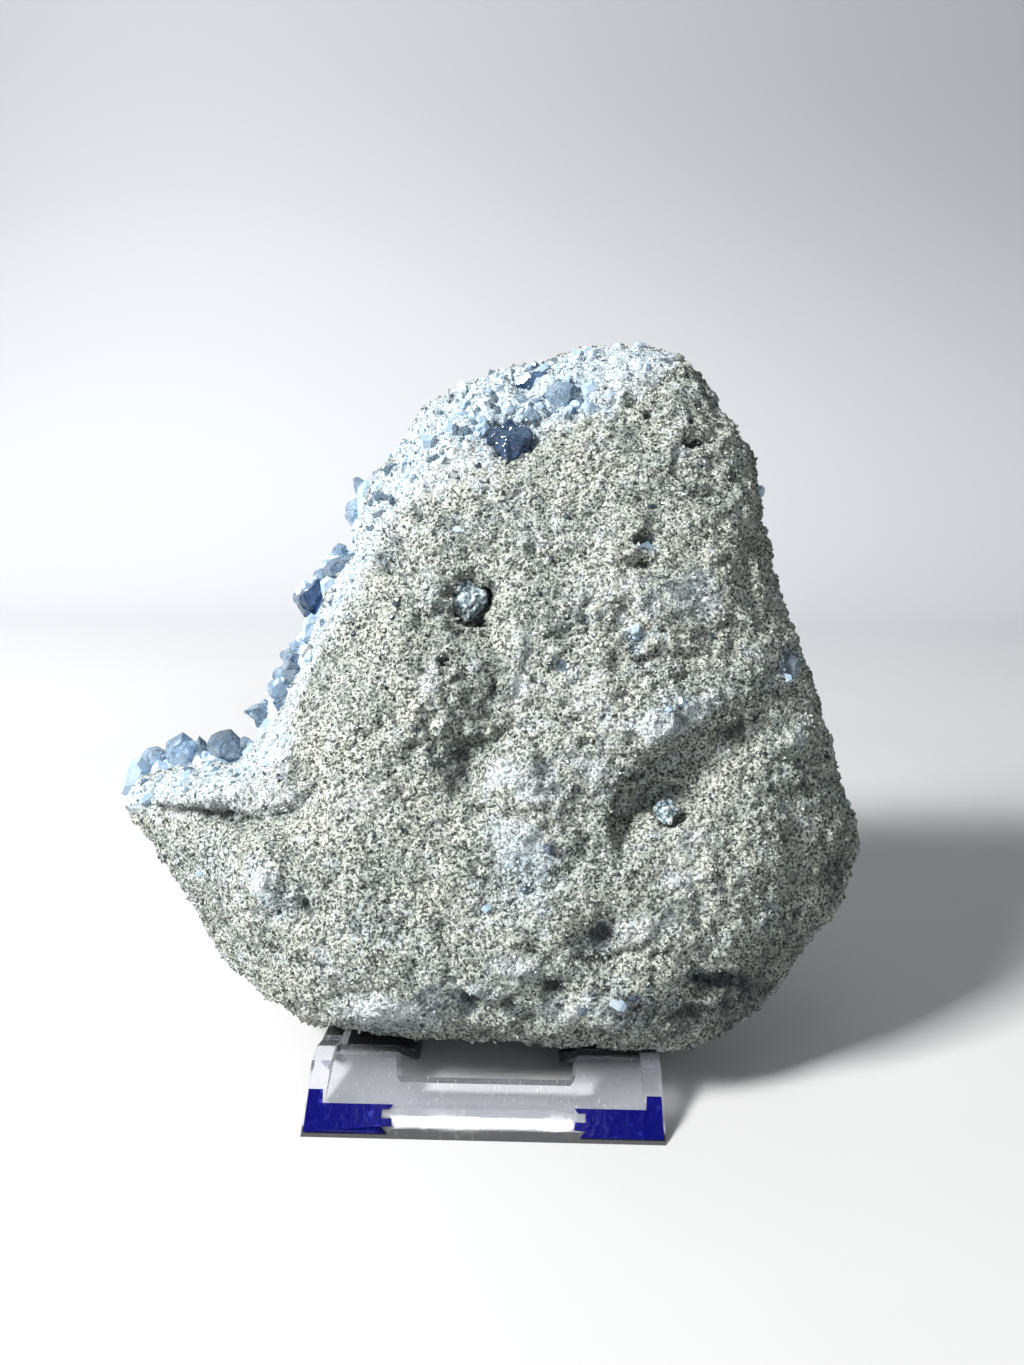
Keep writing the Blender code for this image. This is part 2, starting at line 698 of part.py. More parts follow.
def table_cutter(group):
    """What lies below the table, so that the feet end level with it."""
    bm = bmesh.new()
    depth = 20 * MM
    bmesh.ops.create_cube(bm, size=1.0)
    bmesh.ops.scale(bm, vec=(2 * EASEL_WIDTH, 4 * EASEL_WIDTH, depth), verts=bm.verts)
    bmesh.ops.translate(bm, vec=(0, EASEL_WIDTH, -depth / 2), verts=bm.verts)
    cutter = from_bmesh("table_cutter", bm, group)
    as_cutter(cutter)
    return cutter


def easel(group, cutters, material):
    thing = easel_sheet(group)
    fins = [front_bar(group), rib(group, -1), rib(group, 1)]
    for fin in fins:
        combine(thing, fin, "UNION")
    holes = [window_cutter(cutters), rest_cutter(cutters), corner_cutter(cutters, -1),
             corner_cutter(cutters, 1)]
    for hole in holes:
        combine(thing, hole, "DIFFERENCE")
    prop = leg(group)
    combine(thing, prop, "UNION")
    combine(thing, table_cutter(cutters), "DIFFERENCE")
    discard(prop, *fins)
    clean(thing)
    thing.data.materials.clear()
    thing.data.materials.append(material)
    return thing


def film(group, side, title, material):
    """A strip of film that lies on one outer third of the front bar and on the foot of the rib."""
    points = [(side * a * MM, b * MM) for a, b in FILM]
    if side < 0:
        points.reverse()
    thing = flat_outline(title, group, points, FILM_THICKNESS / 2, material)
    slope = math.atan2(FRONT_BAR_TOP[1], FRONT_BAR_TOP[0])
    out = Vector((0, -math.sin(slope), math.cos(slope))) * (GAP + FILM_THICKNESS)
    thing.data.transform(Matrix.Translation(out) @ Matrix.Rotation(slope, 4, "X"))
    return thing


def stand_stone(things):
    """Lean the stone's pieces back and stand them on the easel."""
    place = Matrix.Translation(STONE_FOOT) @ Matrix.Rotation(-LEAN, 4, "X")
    for thing in things:
        thing.data.transform(place)


def centre_all(things):
    """Bring the middle of the whole object's floor plan to the origin."""
    points = np.array([v.co for thing in things for v in thing.data.vertices])
    low = points.min(axis=0)
    high = points.max(axis=0)
    shift = Matrix.Translation((-(low[0] + high[0]) / 2, -(low[1] + high[1]) / 2, 0))
    for thing in things:
        thing.data.transform(shift)


def main():
    start_clean()
    group = collection(NAME)
    cutters = collection("cutters")
    rock_look = principled("grey_green_rock", (0.50, 0.49, 0.42), 0.92)
    crystal_look = principled("pale_blue_crystal", (0.55, 0.72, 0.88), 0.08, transmission=0.8, ior=1.62)
    clear_look = principled("clear_plastic", (0.93, 0.93, 0.97), 0.06, transmission=0.95, ior=1.49)
    film_look = principled("blue_film", (0.02, 0.02, 0.35), 0.25)

    blob = whole_stone(cutters)
    rock = thinned("matrix", blob, ROCK_TRIANGLES, group)
    rock.data.materials.append(rock_look)
    crust = thinned("crust", blob, CRUST_TRIANGLES, group, CRUST_PROUD)
    behind = lining_block(cutters, 0.0)
    combine(rock, behind, "DIFFERENCE")
    discard(blob, behind)
    stone = [rock, druse(crust, cutters, crystal_look)]
    for title, u, v, radius in POCKETS:
        stone.append(pocket(group, rock, title, u, v, radius, crystal_look))
    clean(rock)
    stand_stone(stone)

    holder = [easel(group, cutters, clear_look)]
    holder.append(film(group, -1, "easel_film_left", film_look))
    holder.append(film(group, 1, "easel_film_right", film_look))
    centre_all(stone + holder)


main()
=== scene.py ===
"""A celestite cluster on its clear easel: granular rock, blue crystals, clear plastic, navy film.

Metres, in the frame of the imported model: +X to the right, +Y to the back, +Z up, the table at z = 0.
"""
import math
import random

import bpy
import numpy as np
from mathutils import Matrix, Quaternion, Vector, noise
from mathutils.bvhtree import BVHTree
from mathutils.kdtree import KDTree


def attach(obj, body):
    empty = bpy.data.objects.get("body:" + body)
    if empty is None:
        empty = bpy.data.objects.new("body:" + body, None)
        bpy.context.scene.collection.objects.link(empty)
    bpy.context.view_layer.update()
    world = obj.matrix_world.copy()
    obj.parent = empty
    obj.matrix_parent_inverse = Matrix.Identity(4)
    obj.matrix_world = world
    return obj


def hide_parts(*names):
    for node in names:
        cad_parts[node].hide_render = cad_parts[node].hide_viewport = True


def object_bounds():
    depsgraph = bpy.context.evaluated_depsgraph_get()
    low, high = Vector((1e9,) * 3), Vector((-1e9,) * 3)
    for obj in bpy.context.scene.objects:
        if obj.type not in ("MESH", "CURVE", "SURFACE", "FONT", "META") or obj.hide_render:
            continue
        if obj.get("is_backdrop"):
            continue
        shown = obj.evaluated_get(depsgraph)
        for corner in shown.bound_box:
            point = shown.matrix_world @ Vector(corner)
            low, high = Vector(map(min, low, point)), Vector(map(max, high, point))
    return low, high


MM = 0.001

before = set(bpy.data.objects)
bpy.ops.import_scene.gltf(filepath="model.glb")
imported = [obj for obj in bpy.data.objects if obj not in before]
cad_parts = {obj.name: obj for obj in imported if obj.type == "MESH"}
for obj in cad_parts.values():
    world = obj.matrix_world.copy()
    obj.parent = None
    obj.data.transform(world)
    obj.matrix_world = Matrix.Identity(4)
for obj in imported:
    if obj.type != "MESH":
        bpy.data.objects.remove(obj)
cad_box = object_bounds()

# The camera, worked out from the easel's straight edges in the photograph's 1024 x 1365 frame
PHOTO_WIDTH = 1024
PHOTO_HEIGHT = 1365
FOCUS = 1025.0
SENSOR = 36.0
EYE = Vector((17.0, -323.8, 187.0)) * MM
PITCH = math.radians(13.5)
YAW = math.radians(1.6)
ROLL = math.radians(0.3)

# The rock's surface: its mesh's cells, rounds of smoothing, and its unevenness as sizes and heights in mm
ROCK_CELL = 1.2 * MM
ROCK_SMOOTHING = 24
ROCK_SWELLS = ((17, 1.5), (7.5, 1.1), (3.6, 1), (2.2, 0.7))
ROCK_GRAIN = 0.22 * MM
ROCK_SHIFT = 0.25 * MM
ROCK_SEED = 11
NOISE_STEP = (7.1, 3.7, 5.3)
# How ragged the edges of hollows and steps are, and those of the patches: sizes in mm and shares
RAGGED_EDGE = ((4, 0.45), (1.8, 0.3))
RAGGED_PATCH = ((6, 0.5), (2.5, 0.3))
STEP_RAGGEDNESS = 5
# On the hidden sides: the rind's width, and size in mm and strength of the bluish patches
HIDDEN_RIND = 9 * MM
HIDDEN_BLUE_SIZE = 16
HIDDEN_BLUE = 0.6

# Hollows of the rock side, and swellings with a depth under 0: x and y in the photograph, half width, half
# height, depth in mm, and for some their turn in degrees
HOLLOWS = (
    (631, 403, 5, 4, 3), (648, 411, 5, 5, 3.5), (692, 422, 5, 4, 2.5), (695, 442, 14, 4, 3.5, -5),
    (643, 541, 10, 6, 2), (643, 563, 9, 6, 3.5), (375, 560, 11, 9, 3.5, 25), (444, 662, 6, 5, 3.5),
    (477, 600, 8, 13, 5, 25), (465, 613, 12, 5, 3), (604, 937, 14, 11, 3), (553, 992, 14, 9, 3),
    (468, 1006, 12, 8, 4), (722, 984, 26, 8, 3, -8), (697, 978, 9, 8, 4), (302, 907, 7, 12, 3, -30),
    (364, 888, 5, 4, 2.5), (468, 780, 22, 28, 4.5, 20), (640, 800, 15, 17, 4), (624, 835, 9, 26, 2.5, -8),
    (525, 383, 13, 9, 3), (511, 438, 18, 11, 4, 12), (496, 399, 6, 7, 2.5, 20), (790, 660, 12, 20, 2, 10),
    (680, 655, 10, 6, 1.6), (560, 665, 8, 8, 1.6), (637, 642, 14, 10, 1.4), (572, 626, 9, 4, 2, -25),
    (586, 618, 5, 5, 2), (640, 1012, 18, 8, 3), (505, 1008, 14, 7, 2.5), (350, 1000, 14, 8, 2.5, 15),
    (400, 940, 18, 12, 1.8), (330, 655, 8, 5, 1.6), (416, 513, 6, 11, 2.8, 10), (455, 522, 9, 7, 2.4),
    (462, 505, 8, 5, 2.2, -20), (515, 492, 8, 6, 2.2), (531, 550, 7, 5, 2), (604, 500, 7, 5, 1.6),
    (735, 478, 7, 6, 1.8), (612, 404, 6, 5, 1.8), (665, 380, 8, 5, 1.6), (700, 405, 6, 6, 1.6),
    (587, 742, 8, 4, 1.6, -30), (604, 720, 5, 5, 1.4), (356, 735, 8, 4, 1.8, -35),
    (421, 614, 9, 5, 1.6, -25), (392, 503, 6, 5, 1.8), (440, 930, 10, 6, 1.2, -20),
    (270, 960, 10, 7, 2.4, 30), (596, 1036, 30, 6, 2.5), (532, 1020, 10, 5, 2.2),
    (664, 955, 12, 6, 2.2, -10), (690, 1015, 20, 8, 3.5, -14),
    (516, 770, 20, 20, -2.4), (795, 738, 13, 13, -2), (682, 712, 40, 24, -2.6, -10),
    (588, 690, 40, 60, -1.4), (690, 825, 22, 16, -1.6, -20), (556, 383, 22, 11, -1.6),
    (440, 440, 30, 10, -1, -35), (235, 792, 60, 9, -2.2, -6), (380, 690, 46, 60, -1.6),
    (655, 815, 8, 8, -2.2), (262, 872, 6, 15, -1.8, -28), (740, 860, 60, 30, -1.6, -20),
    (449, 668, 22, 90, -3.6, 6), (436, 596, 13, 22, -3.2), (655, 728, 26, 16, -1.4, -20),
    (690, 800, 12, 20, 1.6), (532, 850, 26, 60, -1.8),
)
# Broken steps: depth in mm, how far the low side takes to rise again, then x and y of the edge's points. The
# low side is to the right of someone who walks along it.
STEPS = (
    (8, 36, 474, 590, 482, 618, 491, 652, 496, 690, 492, 716, 480, 740),
    (4.5, 18, 446, 754, 452, 744, 467, 737, 489, 736, 512, 722),
    (4.2, 36, 620, 868, 613, 835, 613, 815, 620, 790, 634, 768, 665, 760, 689, 743, 715, 708),
    (1.6, 8, 700, 745, 722, 732, 745, 722, 772, 705),
    (2.5, 12, 620, 838, 628, 815, 652, 800, 684, 786),
    (1.8, 8, 579, 607, 590, 597, 604, 588),
    (1.8, 8, 554, 640, 566, 632, 574, 634),
    (1.8, 8, 570, 712, 576, 722, 573, 734),
    (2.4, 10, 683, 660, 692, 652, 703, 648),
    (2.2, 10, 632, 545, 640, 535, 658, 536),
    (2, 10, 690, 480, 706, 492, 724, 488),
    (3.2, 20, 800, 886, 818, 872, 836, 862, 850, 846),
    (5.5, 24, 132, 800, 165, 804, 205, 808, 250, 813, 292, 804, 318, 784),
    (2.4, 14, 455, 610, 470, 608, 484, 596, 486, 580),
    (1.8, 12, 556, 646, 575, 632, 598, 622),
    (2.2, 12, 610, 655, 632, 658, 652, 655, 655, 640),
    (2.6, 16, 664, 1000, 700, 985, 742, 962, 760, 940),
    (1.8, 12, 760, 520, 752, 560, 757, 600, 776, 640),
    (2, 14, 420, 830, 470, 808, 520, 800),
    (1.6, 14, 330, 760, 372, 728, 402, 712),
    (1.6, 12, 520, 560, 546, 552, 580, 572),
    (2.4, 12, 340, 575, 362, 580, 388, 566, 392, 548),
    (2, 12, 240, 930, 268, 948, 300, 962, 340, 968),
    (2, 12, 560, 955, 600, 958, 640, 946, 664, 930),
)
# Where the rock is white or bluish or dark: x, y, half width, half height, strength, and for some their
# turn. The dark ones are painted shade, in hollows and crevices, under the ledge and over the lower right
PATCHES = {"white": (
    (502, 774, 17, 15, 1), (531, 791, 17, 12, 1), (517, 686, 7, 14, 0.9, -10),
    (520, 845, 30, 30, 0.75, -10), (702, 705, 34, 12, 0.5, -40), (688, 592, 30, 28, 0.6),
    (428, 592, 14, 24, 0.4), (545, 775, 24, 22, 0.5), (596, 772, 16, 14, 0.6), (640, 800, 10, 8, 0.35),
    (428, 690, 10, 40, 0.45, 6), (520, 665, 16, 50, 0.4), (652, 605, 16, 20, 0.5), (677, 453, 12, 8, 0.6),
    (260, 880, 13, 26, 1, -28), (390, 1012, 50, 22, 0.85), (470, 990, 60, 14, 0.4),
    (512, 966, 24, 14, 0.55), (680, 880, 20, 16, 0.5), (590, 690, 34, 40, 0.35), (600, 385, 60, 24, 0.55),
    (330, 960, 30, 16, 0.35, 20), (640, 930, 34, 18, 0.45), (560, 1010, 60, 14, 0.45),
    (400, 500, 30, 22, 0.5, -40), (480, 470, 50, 16, 0.35), (795, 738, 15, 16, 0.45),
    (690, 845, 30, 16, 0.4, -20), (700, 900, 34, 20, 0.3), (330, 700, 24, 60, 0.2, 35),
    (600, 600, 60, 50, 0.3), (645, 590, 40, 30, 0.35), (650, 728, 30, 18, 0.65), (580, 762, 34, 18, 0.45),
    (530, 900, 24, 40, 0.35), (610, 740, 40, 12, 0.3, -20), (360, 800, 40, 16, 0.35, -10),
    (240, 800, 90, 16, 0.6, -5), (545, 540, 60, 20, 0.25),
), "blue": (
    (500, 425, 66, 30, 0.85, -8), (570, 398, 44, 22, 1), (508, 438, 26, 16, 1), (636, 641, 14, 18, 0.9),
    (528, 868, 40, 58, 0.6), (564, 666, 9, 10, 0.45), (645, 546, 14, 14, 0.7), (375, 930, 60, 26, 0.5),
    (786, 665, 16, 24, 0.6, 10), (470, 1000, 50, 16, 0.55), (620, 1005, 60, 24, 0.55),
    (604, 940, 26, 18, 0.6), (718, 980, 36, 14, 0.6), (385, 555, 34, 22, 0.5), (463, 600, 14, 14, 0.8),
    (660, 795, 20, 14, 0.4), (500, 910, 50, 30, 0.45), (400, 915, 24, 30, 0.4),
    (280, 900, 36, 26, 0.55, 20), (676, 712, 42, 24, 0.55), (215, 872, 64, 36, 0.42, 10),
    (455, 530, 34, 20, 0.5), (430, 765, 30, 14, 0.4), (300, 965, 30, 18, 0.4, 30), (500, 505, 56, 30, 0.4),
    (545, 530, 24, 24, 0.35), (430, 520, 44, 26, 0.4), (350, 600, 40, 40, 0.3), (470, 905, 50, 26, 0.3),
    (800, 620, 14, 30, 0.4), (520, 500, 26, 40, 0.45, 10),
# Painted shade: hollows, crevices, the groove under the ledge and the lower right turned from the light
), "dark": (
    (604, 937, 12, 9, 0.9), (553, 992, 13, 8, 0.8), (724, 984, 26, 8, 0.9, -8),
    (304, 910, 7, 10, 0.7, -30), (468, 1006, 10, 6, 0.7), (648, 411, 4, 4, 1), (631, 403, 4, 3, 1),
    (692, 422, 4, 3, 0.8), (695, 442, 12, 3, 1, -5), (643, 541, 8, 4, 0.5), (375, 562, 8, 6, 0.9, 25),
    (364, 888, 4, 4, 0.9), (478, 600, 5, 8, 1, 25), (642, 778, 18, 5, 0.45, -20),
    (740, 1000, 60, 26, 0.6, -40), (690, 1020, 70, 22, 0.5, -12), (790, 940, 30, 50, 0.4, 25),
    (484, 548, 12, 9, 0.5), (487, 600, 6, 13, 0.6, 20), (455, 772, 13, 28, 0.6, 15),
    (482, 682, 15, 58, 0.6, 5), (748, 728, 32, 16, 0.62, -25), (844, 880, 24, 50, 0.5, 10),
    (672, 812, 6, 11, 0.5), (378, 560, 13, 12, 0.65, 20), (215, 814, 52, 8, 0.5, 5),
    (300, 770, 24, 26, 0.42), (505, 515, 40, 26, 0.25), (470, 614, 10, 4, 0.9), (444, 662, 5, 5, 0.9),
    (643, 563, 7, 5, 0.9), (640, 537, 10, 4, 0.7, -10), (583, 622, 6, 5, 0.7), (518, 514, 11, 8, 0.5),
    (416, 513, 4, 9, 0.7, 10), (455, 522, 6, 5, 0.6), (462, 505, 6, 4, 0.5, -20), (515, 492, 5, 4, 0.5),
)}

# Sand grains that stand out of the rock: number and seed for the camera's side and for the others, shapes,
# sizes, how many are small, and how deep they are sunk
FRONT_GRAINS = (24000, 41)
SIDE_GRAINS = (15000, 42)
GRAIN_SHAPES = 6
GRAIN_RADIUS = (0.33 * MM, 0.80 * MM)
GRAIN_SMALLNESS = 2.2
GRAIN_SUNK = (0.25, 0.8)

# The easel's rounded edges, and the angle from which an edge stays sharp
EASEL_ROUNDING = 0.35 * MM
SHARP_EDGE = math.radians(32)

# The ground that the crystals stand on
BED_CELL = 1.3 * MM
BED_SMOOTHING = 45
BED_SUNK = 0.8 * MM
BED_SWELL = ((5, 0.9),)
BED_GRAIN = 0.35 * MM
BED_SEED = 3

# Lumps of crystal in the pockets: their mesh's cells, how far they are worn down, and their unevenness
LUMP_CELL = 0.4 * MM
LUMP_WORN = 0.3 * MM
LUMP_SWELLS = ((3.5, 1.3), (1.4, 0.5))

# Seed crystals: sides, how far the top is drawn in both ways, where that starts, and how worn the edges are
SEED_CRYSTALS = {
    "large": ((4, 0.30, 0.10, 0.60, 0.05), (4, 0.55, 0.05, 0.66, 0.05),
              (6, 0.45, 0.12, 0.62, 0.05), (5, 0.30, 0.30, 0.68, 0.05)),
    "blunt": ((4, 0.62, 0.50, 0.72, 0.05), (5, 0.55, 0.40, 0.70, 0.05)),
    "small": ((4, 0.30, 0.10, 0.60, 0.0), (4, 0.55, 0.35, 0.66, 0.0)),
}
# Looks of crystals: how clear, two surface colours, colour of the light that gets through, how fast the rest
# is taken out, roughness, and the roughness that frosted blotches add
CRYSTAL_LOOKS = {
    "steel": (0.8, (0.72, 0.84, 0.95), (0.50, 0.65, 0.80), (0.42, 0.60, 0.74), 70, 0.03, 0.25),
    "ice": (0.5, (0.74, 0.86, 0.96), (0.48, 0.65, 0.82), (0.52, 0.72, 0.86), 80, 0.10, 0.35),
    "slate": (0.8, (0.46, 0.57, 0.67), (0.26, 0.36, 0.46), (0.30, 0.41, 0.52), 130, 0.05, 0.3),
    "dark": (0.4, (0.10, 0.14, 0.17), (0.04, 0.06, 0.08), (0.30, 0.40, 0.45), 200, 0.12, 0.3),
    "navy": (0.85, (0.30, 0.46, 0.68), (0.16, 0.29, 0.52), (0.20, 0.36, 0.58), 320, 0.03, 0.2),
}
# The druse: seed, lowest large crystal, least distance between two, and the place its crystals lean to
DRUSE_SEED = 5
LOWEST_APEX = 3 * MM
APEX_SPACING = 6 * MM
HOLLOW_MIDDLE = Vector((-0.03, 0.10, 0.115))
# Crystals over the broken edge and in the rock side, and how many of the small ones stray out of bluish rock
EDGE_SEED = 9
EDGE_DISTANCE = 0.34
FACE_SEED = 13
STRAY_SHARE = 0.008
STRAY_BLUE = 0.3

# The white rind along the crystals, in the photograph: x, y, and how far it is white
RIND = (
    (118, 800, 20), (150, 778, 40), (200, 768, 38), (240, 762, 36), (262, 738, 30), (285, 702, 15),
    (302, 666, 13), (320, 626, 13), (345, 588, 12), (362, 548, 14), (372, 508, 26), (392, 478, 36),
    (420, 442, 46), (455, 410, 50), (500, 392, 50), (560, 380, 44), (620, 364, 30), (668, 354, 14),
)
# Crystals over the broken edge: look, then x and y of each corner of the outline in the photograph
EDGE_CRYSTALS = (
    ("ice", 121, 794, 124, 772, 131, 760, 142, 756, 150, 768, 146, 786, 134, 798),
    ("steel", 140, 757, 147, 748, 157, 746, 165, 750, 163, 766, 150, 772),
    ("ice", 146, 772, 158, 760, 174, 764, 176, 782, 156, 788),
    ("steel", 166, 742, 183, 732, 195, 741, 199, 752, 192, 768, 172, 770, 165, 757),
    ("ice", 170, 764, 182, 752, 194, 760, 200, 776, 178, 782),
    ("slate", 197, 744, 204, 741, 211, 748, 209, 764, 198, 762),
    ("slate", 209, 746, 219, 731, 231, 729, 240, 738, 250, 748, 246, 762, 224, 764, 211, 760),
    ("ice", 200, 764, 212, 752, 228, 750, 238, 762, 230, 776, 208, 778),
    ("ice", 242, 752, 252, 742, 262, 735, 270, 742, 264, 760, 246, 766),
    ("slate", 252, 711, 264, 699, 274, 702, 273, 718, 264, 730, 256, 727),
    ("ice", 257, 730, 266, 718, 280, 712, 284, 724, 274, 742, 258, 742),
    ("ice", 266, 690, 278, 677, 289, 681, 290, 694, 276, 700),
    ("slate", 272, 702, 284, 692, 297, 690, 294, 706, 280, 716),
    ("slate", 283, 672, 290, 658, 300, 666, 302, 684, 292, 692, 284, 684),
    ("steel", 289, 644, 299, 637, 314, 645, 316, 660, 302, 668, 290, 656),
    ("ice", 303, 622, 318, 612, 326, 624, 318, 644, 302, 642),
    ("navy", 296, 596, 302, 590, 319, 577, 328, 590, 324, 608, 314, 618, 304, 617, 297, 606),
    ("ice", 320, 582, 330, 573, 346, 576, 348, 594, 334, 606, 322, 600),
    ("ice", 314, 618, 322, 604, 338, 602, 336, 618, 322, 632),
    ("slate", 321, 571, 331, 559, 346, 554, 360, 552, 356, 568, 342, 580, 326, 580),
    ("steel", 352, 555, 357, 543, 364, 545, 366, 562, 354, 566),
    ("ice", 353, 535, 359, 520, 376, 516, 378, 536, 366, 550, 356, 547),
    ("ice", 358, 521, 357, 498, 370, 494, 384, 504, 378, 524),
    ("ice", 357, 500, 358, 488, 365, 481, 382, 479, 390, 492, 380, 508, 366, 506),
    ("steel", 380, 482, 386, 472, 396, 476, 394, 494, 384, 492),
    ("ice", 385, 474, 390, 463, 397, 459, 410, 464, 408, 482, 392, 488),
    ("ice", 402, 464, 405, 448, 412, 440, 426, 446, 424, 464, 410, 472),
    ("ice", 408, 441, 414, 428, 424, 418, 438, 424, 436, 442, 420, 450),
    ("ice", 426, 416, 436, 407, 448, 406, 454, 418, 444, 428, 430, 428),
    ("ice", 444, 404, 446, 396, 456, 398, 462, 410, 452, 418, 444, 412),
    ("steel", 455, 397, 462, 386, 471, 385, 482, 390, 480, 404, 463, 408),
    ("ice", 480, 388, 485, 377, 494, 379, 504, 386, 500, 400, 484, 402),
)
# Crystals set in the rock side, in the same way
FACE_CRYSTALS = (
    ("steel", 544, 396, 548, 388, 556, 381, 575, 384, 577, 396, 568, 413, 557, 415, 551, 405),
    ("navy", 514, 385, 527, 372, 547, 371, 543, 380, 539, 387, 531, 395, 524, 389),
    ("navy", 489, 440, 492, 431, 500, 426, 510, 429, 512, 436, 503, 441),
    ("navy", 504, 440, 512, 430, 521, 442, 514, 452, 508, 449),
    ("navy", 521, 449, 529, 444, 537, 446, 535, 454, 526, 455),
    ("slate", 490, 393, 497, 395, 504, 403, 502, 406, 490, 398),
    ("steel", 520, 419, 530, 405, 538, 412, 542, 419, 530, 425),
    ("steel", 515, 396, 523, 394, 529, 400, 525, 406, 517, 406),
    ("steel", 532, 399, 541, 397, 540, 403, 534, 405),
    ("navy", 570, 414, 573, 407, 578, 413),
    ("slate", 577, 400, 582, 397, 586, 402, 583, 407, 578, 406),
    ("ice", 420, 436, 435, 435, 434, 447, 427, 458, 421, 451),
    ("slate", 428, 458, 437, 453, 440, 458, 433, 462),
    ("slate", 459, 428, 466, 425, 471, 431, 467, 437, 461, 435),
    ("ice", 500, 408, 510, 402, 518, 408, 514, 418, 503, 418),
    ("steel", 472, 408, 476, 404, 481, 409, 479, 416, 474, 415),
    ("slate", 484, 402, 489, 400, 497, 406, 494, 410, 486, 408),
    ("steel", 496, 387, 502, 384, 506, 389, 501, 394, 497, 392),
    ("ice", 580, 386, 592, 380, 600, 388, 596, 398, 584, 398),
    ("ice", 474, 426, 486, 420, 490, 428, 484, 438, 475, 436),
    ("slate", 557, 664, 563, 657, 571, 661, 572, 671, 564, 677, 558, 672),
    ("steel", 783, 660, 790, 652, 799, 660, 800, 676, 791, 684, 784, 674),
    ("steel", 640, 545, 648, 541, 654, 547, 648, 553, 641, 551),
)


def camera_axes():
    ahead = Vector((-math.sin(YAW) * math.cos(PITCH), math.cos(YAW) * math.cos(PITCH), -math.sin(PITCH)))
    side = Vector((math.cos(YAW), math.sin(YAW), 0))
    up = side.cross(ahead)
    right = side * math.cos(ROLL) + up * math.sin(ROLL)
    return right, up * math.cos(ROLL) - side * math.sin(ROLL), ahead


RIGHT, UP, AHEAD = camera_axes()


def pairs(numbers):
    return list(zip(numbers[::2], numbers[1::2]))


def sight(x, y):
    """The direction in which the camera sees a place of the photograph."""
    way = AHEAD + RIGHT * ((x - PHOTO_WIDTH / 2) / FOCUS) + UP * ((PHOTO_HEIGHT / 2 - y) / FOCUS)
    return way.normalized()


def sight_of(outline):
    return sight(*(sum(values) / len(outline) for values in zip(*outline)))


def in_photo(points):
    """Where the camera sees points, in the photograph's frame."""
    away = points - np.array(EYE)
    depth = away @ np.array(AHEAD)
    x = PHOTO_WIDTH / 2 + FOCUS * (away @ np.array(RIGHT)) / depth
    y = PHOTO_HEIGHT / 2 - FOCUS * (away @ np.array(UP)) / depth
    return x, y


# Working on meshes

def only(thing):
    """Select one object alone and make it the active one."""
    bpy.ops.object.select_all(action="DESELECT")
    thing.select_set(True)
    bpy.context.view_layer.objects.active = thing


def added(title, data):
    thing = bpy.data.objects.new(title, data)
    bpy.context.scene.collection.objects.link(thing)
    return thing


def copy_of(node, title):
    """A copy of a CAD node's mesh, as an object of its own, with its triangles merged."""
    thing = added(title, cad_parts[node].data.copy())
    thing.data.materials.clear()
    only(thing)
    bpy.ops.object.mode_set(mode="EDIT")
    bpy.ops.mesh.select_all(action="SELECT")
    bpy.ops.mesh.remove_doubles(threshold=0.002 * MM)
    bpy.ops.mesh.normals_make_consistent(inside=False)
    bpy.ops.object.mode_set(mode="OBJECT")
    return thing


def pick(thing, kind, wanted):
    """Go into edit mode with only the wanted faces or edges selected."""
    only(thing)
    bpy.ops.object.mode_set(mode="EDIT")
    bpy.ops.mesh.select_mode(type=kind)
    bpy.ops.mesh.select_all(action="DESELECT")
    bpy.ops.object.mode_set(mode="OBJECT")
    for part in thing.data.polygons if kind == "FACE" else thing.data.edges:
        part.select = wanted(part)
    bpy.ops.object.mode_set(mode="EDIT")


def taken(thing):
    """The points and faces of a seed, whose object is no longer needed."""
    points = np.array([v.co for v in thing.data.vertices])
    faces = [tuple(f.vertices) for f in thing.data.polygons]
    bpy.data.objects.remove(thing, do_unlink=True)
    return points, faces


def new_piece(title, points, faces, material):
    mesh = bpy.data.meshes.new(title)
    mesh.from_pydata(points.tolist(), [], faces)
    mesh.materials.append(material)
    return added(title, mesh)


def apply(thing, kind, **settings):
    """Add a modifier with its settings and apply it at once."""
    only(thing)
    modifier = thing.modifiers.new(kind.lower(), kind)
    for key, value in settings.items():
        setattr(modifier, key, value)
    bpy.ops.object.modifier_apply(modifier=modifier.name)


def even_out(thing, cell, rounds):
    """Give a mesh even cells and smooth it."""
    apply(thing, "REMESH", mode="VOXEL", voxel_size=cell)
    apply(thing, "SMOOTH", factor=0.5, iterations=rounds)


def places_and_normals(thing):
    both = np.zeros((2, len(thing.data.vertices), 3), np.float32)
    for name, values in zip(("co", "normal"), both):
        thing.data.vertices.foreach_get(name, values.ravel())
    return both.astype(float)


def set_places(thing, places):
    thing.data.vertices.foreach_set("co", places.astype(np.float32).ravel())
    thing.data.update()


def mark(thing, title, values):
    """Store a value for each vertex, for a material to read."""
    layer = thing.data.attributes.new(title, "FLOAT", "POINT")
    layer.data.foreach_set("value", np.clip(values, 0, 1).astype(np.float32))


def marks_of(thing, title):
    values = np.zeros(len(thing.data.vertices), np.float32)
    thing.data.attributes[title].data.foreach_get("value", values)
    return values


def swell(places, layers, seed):
    """Noise of several sizes in mm, each with its own height."""
    total = 0
    for number, (size, height) in enumerate(layers, seed):
        shift = Vector([number * step for step in NOISE_STEP])
        total = total + height * np.array([noise.noise(Vector(p) + shift) for p in places / (size * MM)])
    return total


def tree_of(thing):
    mesh = thing.data
    return BVHTree.FromPolygons([v.co for v in mesh.vertices], [p.vertices for p in mesh.polygons])


# Materials

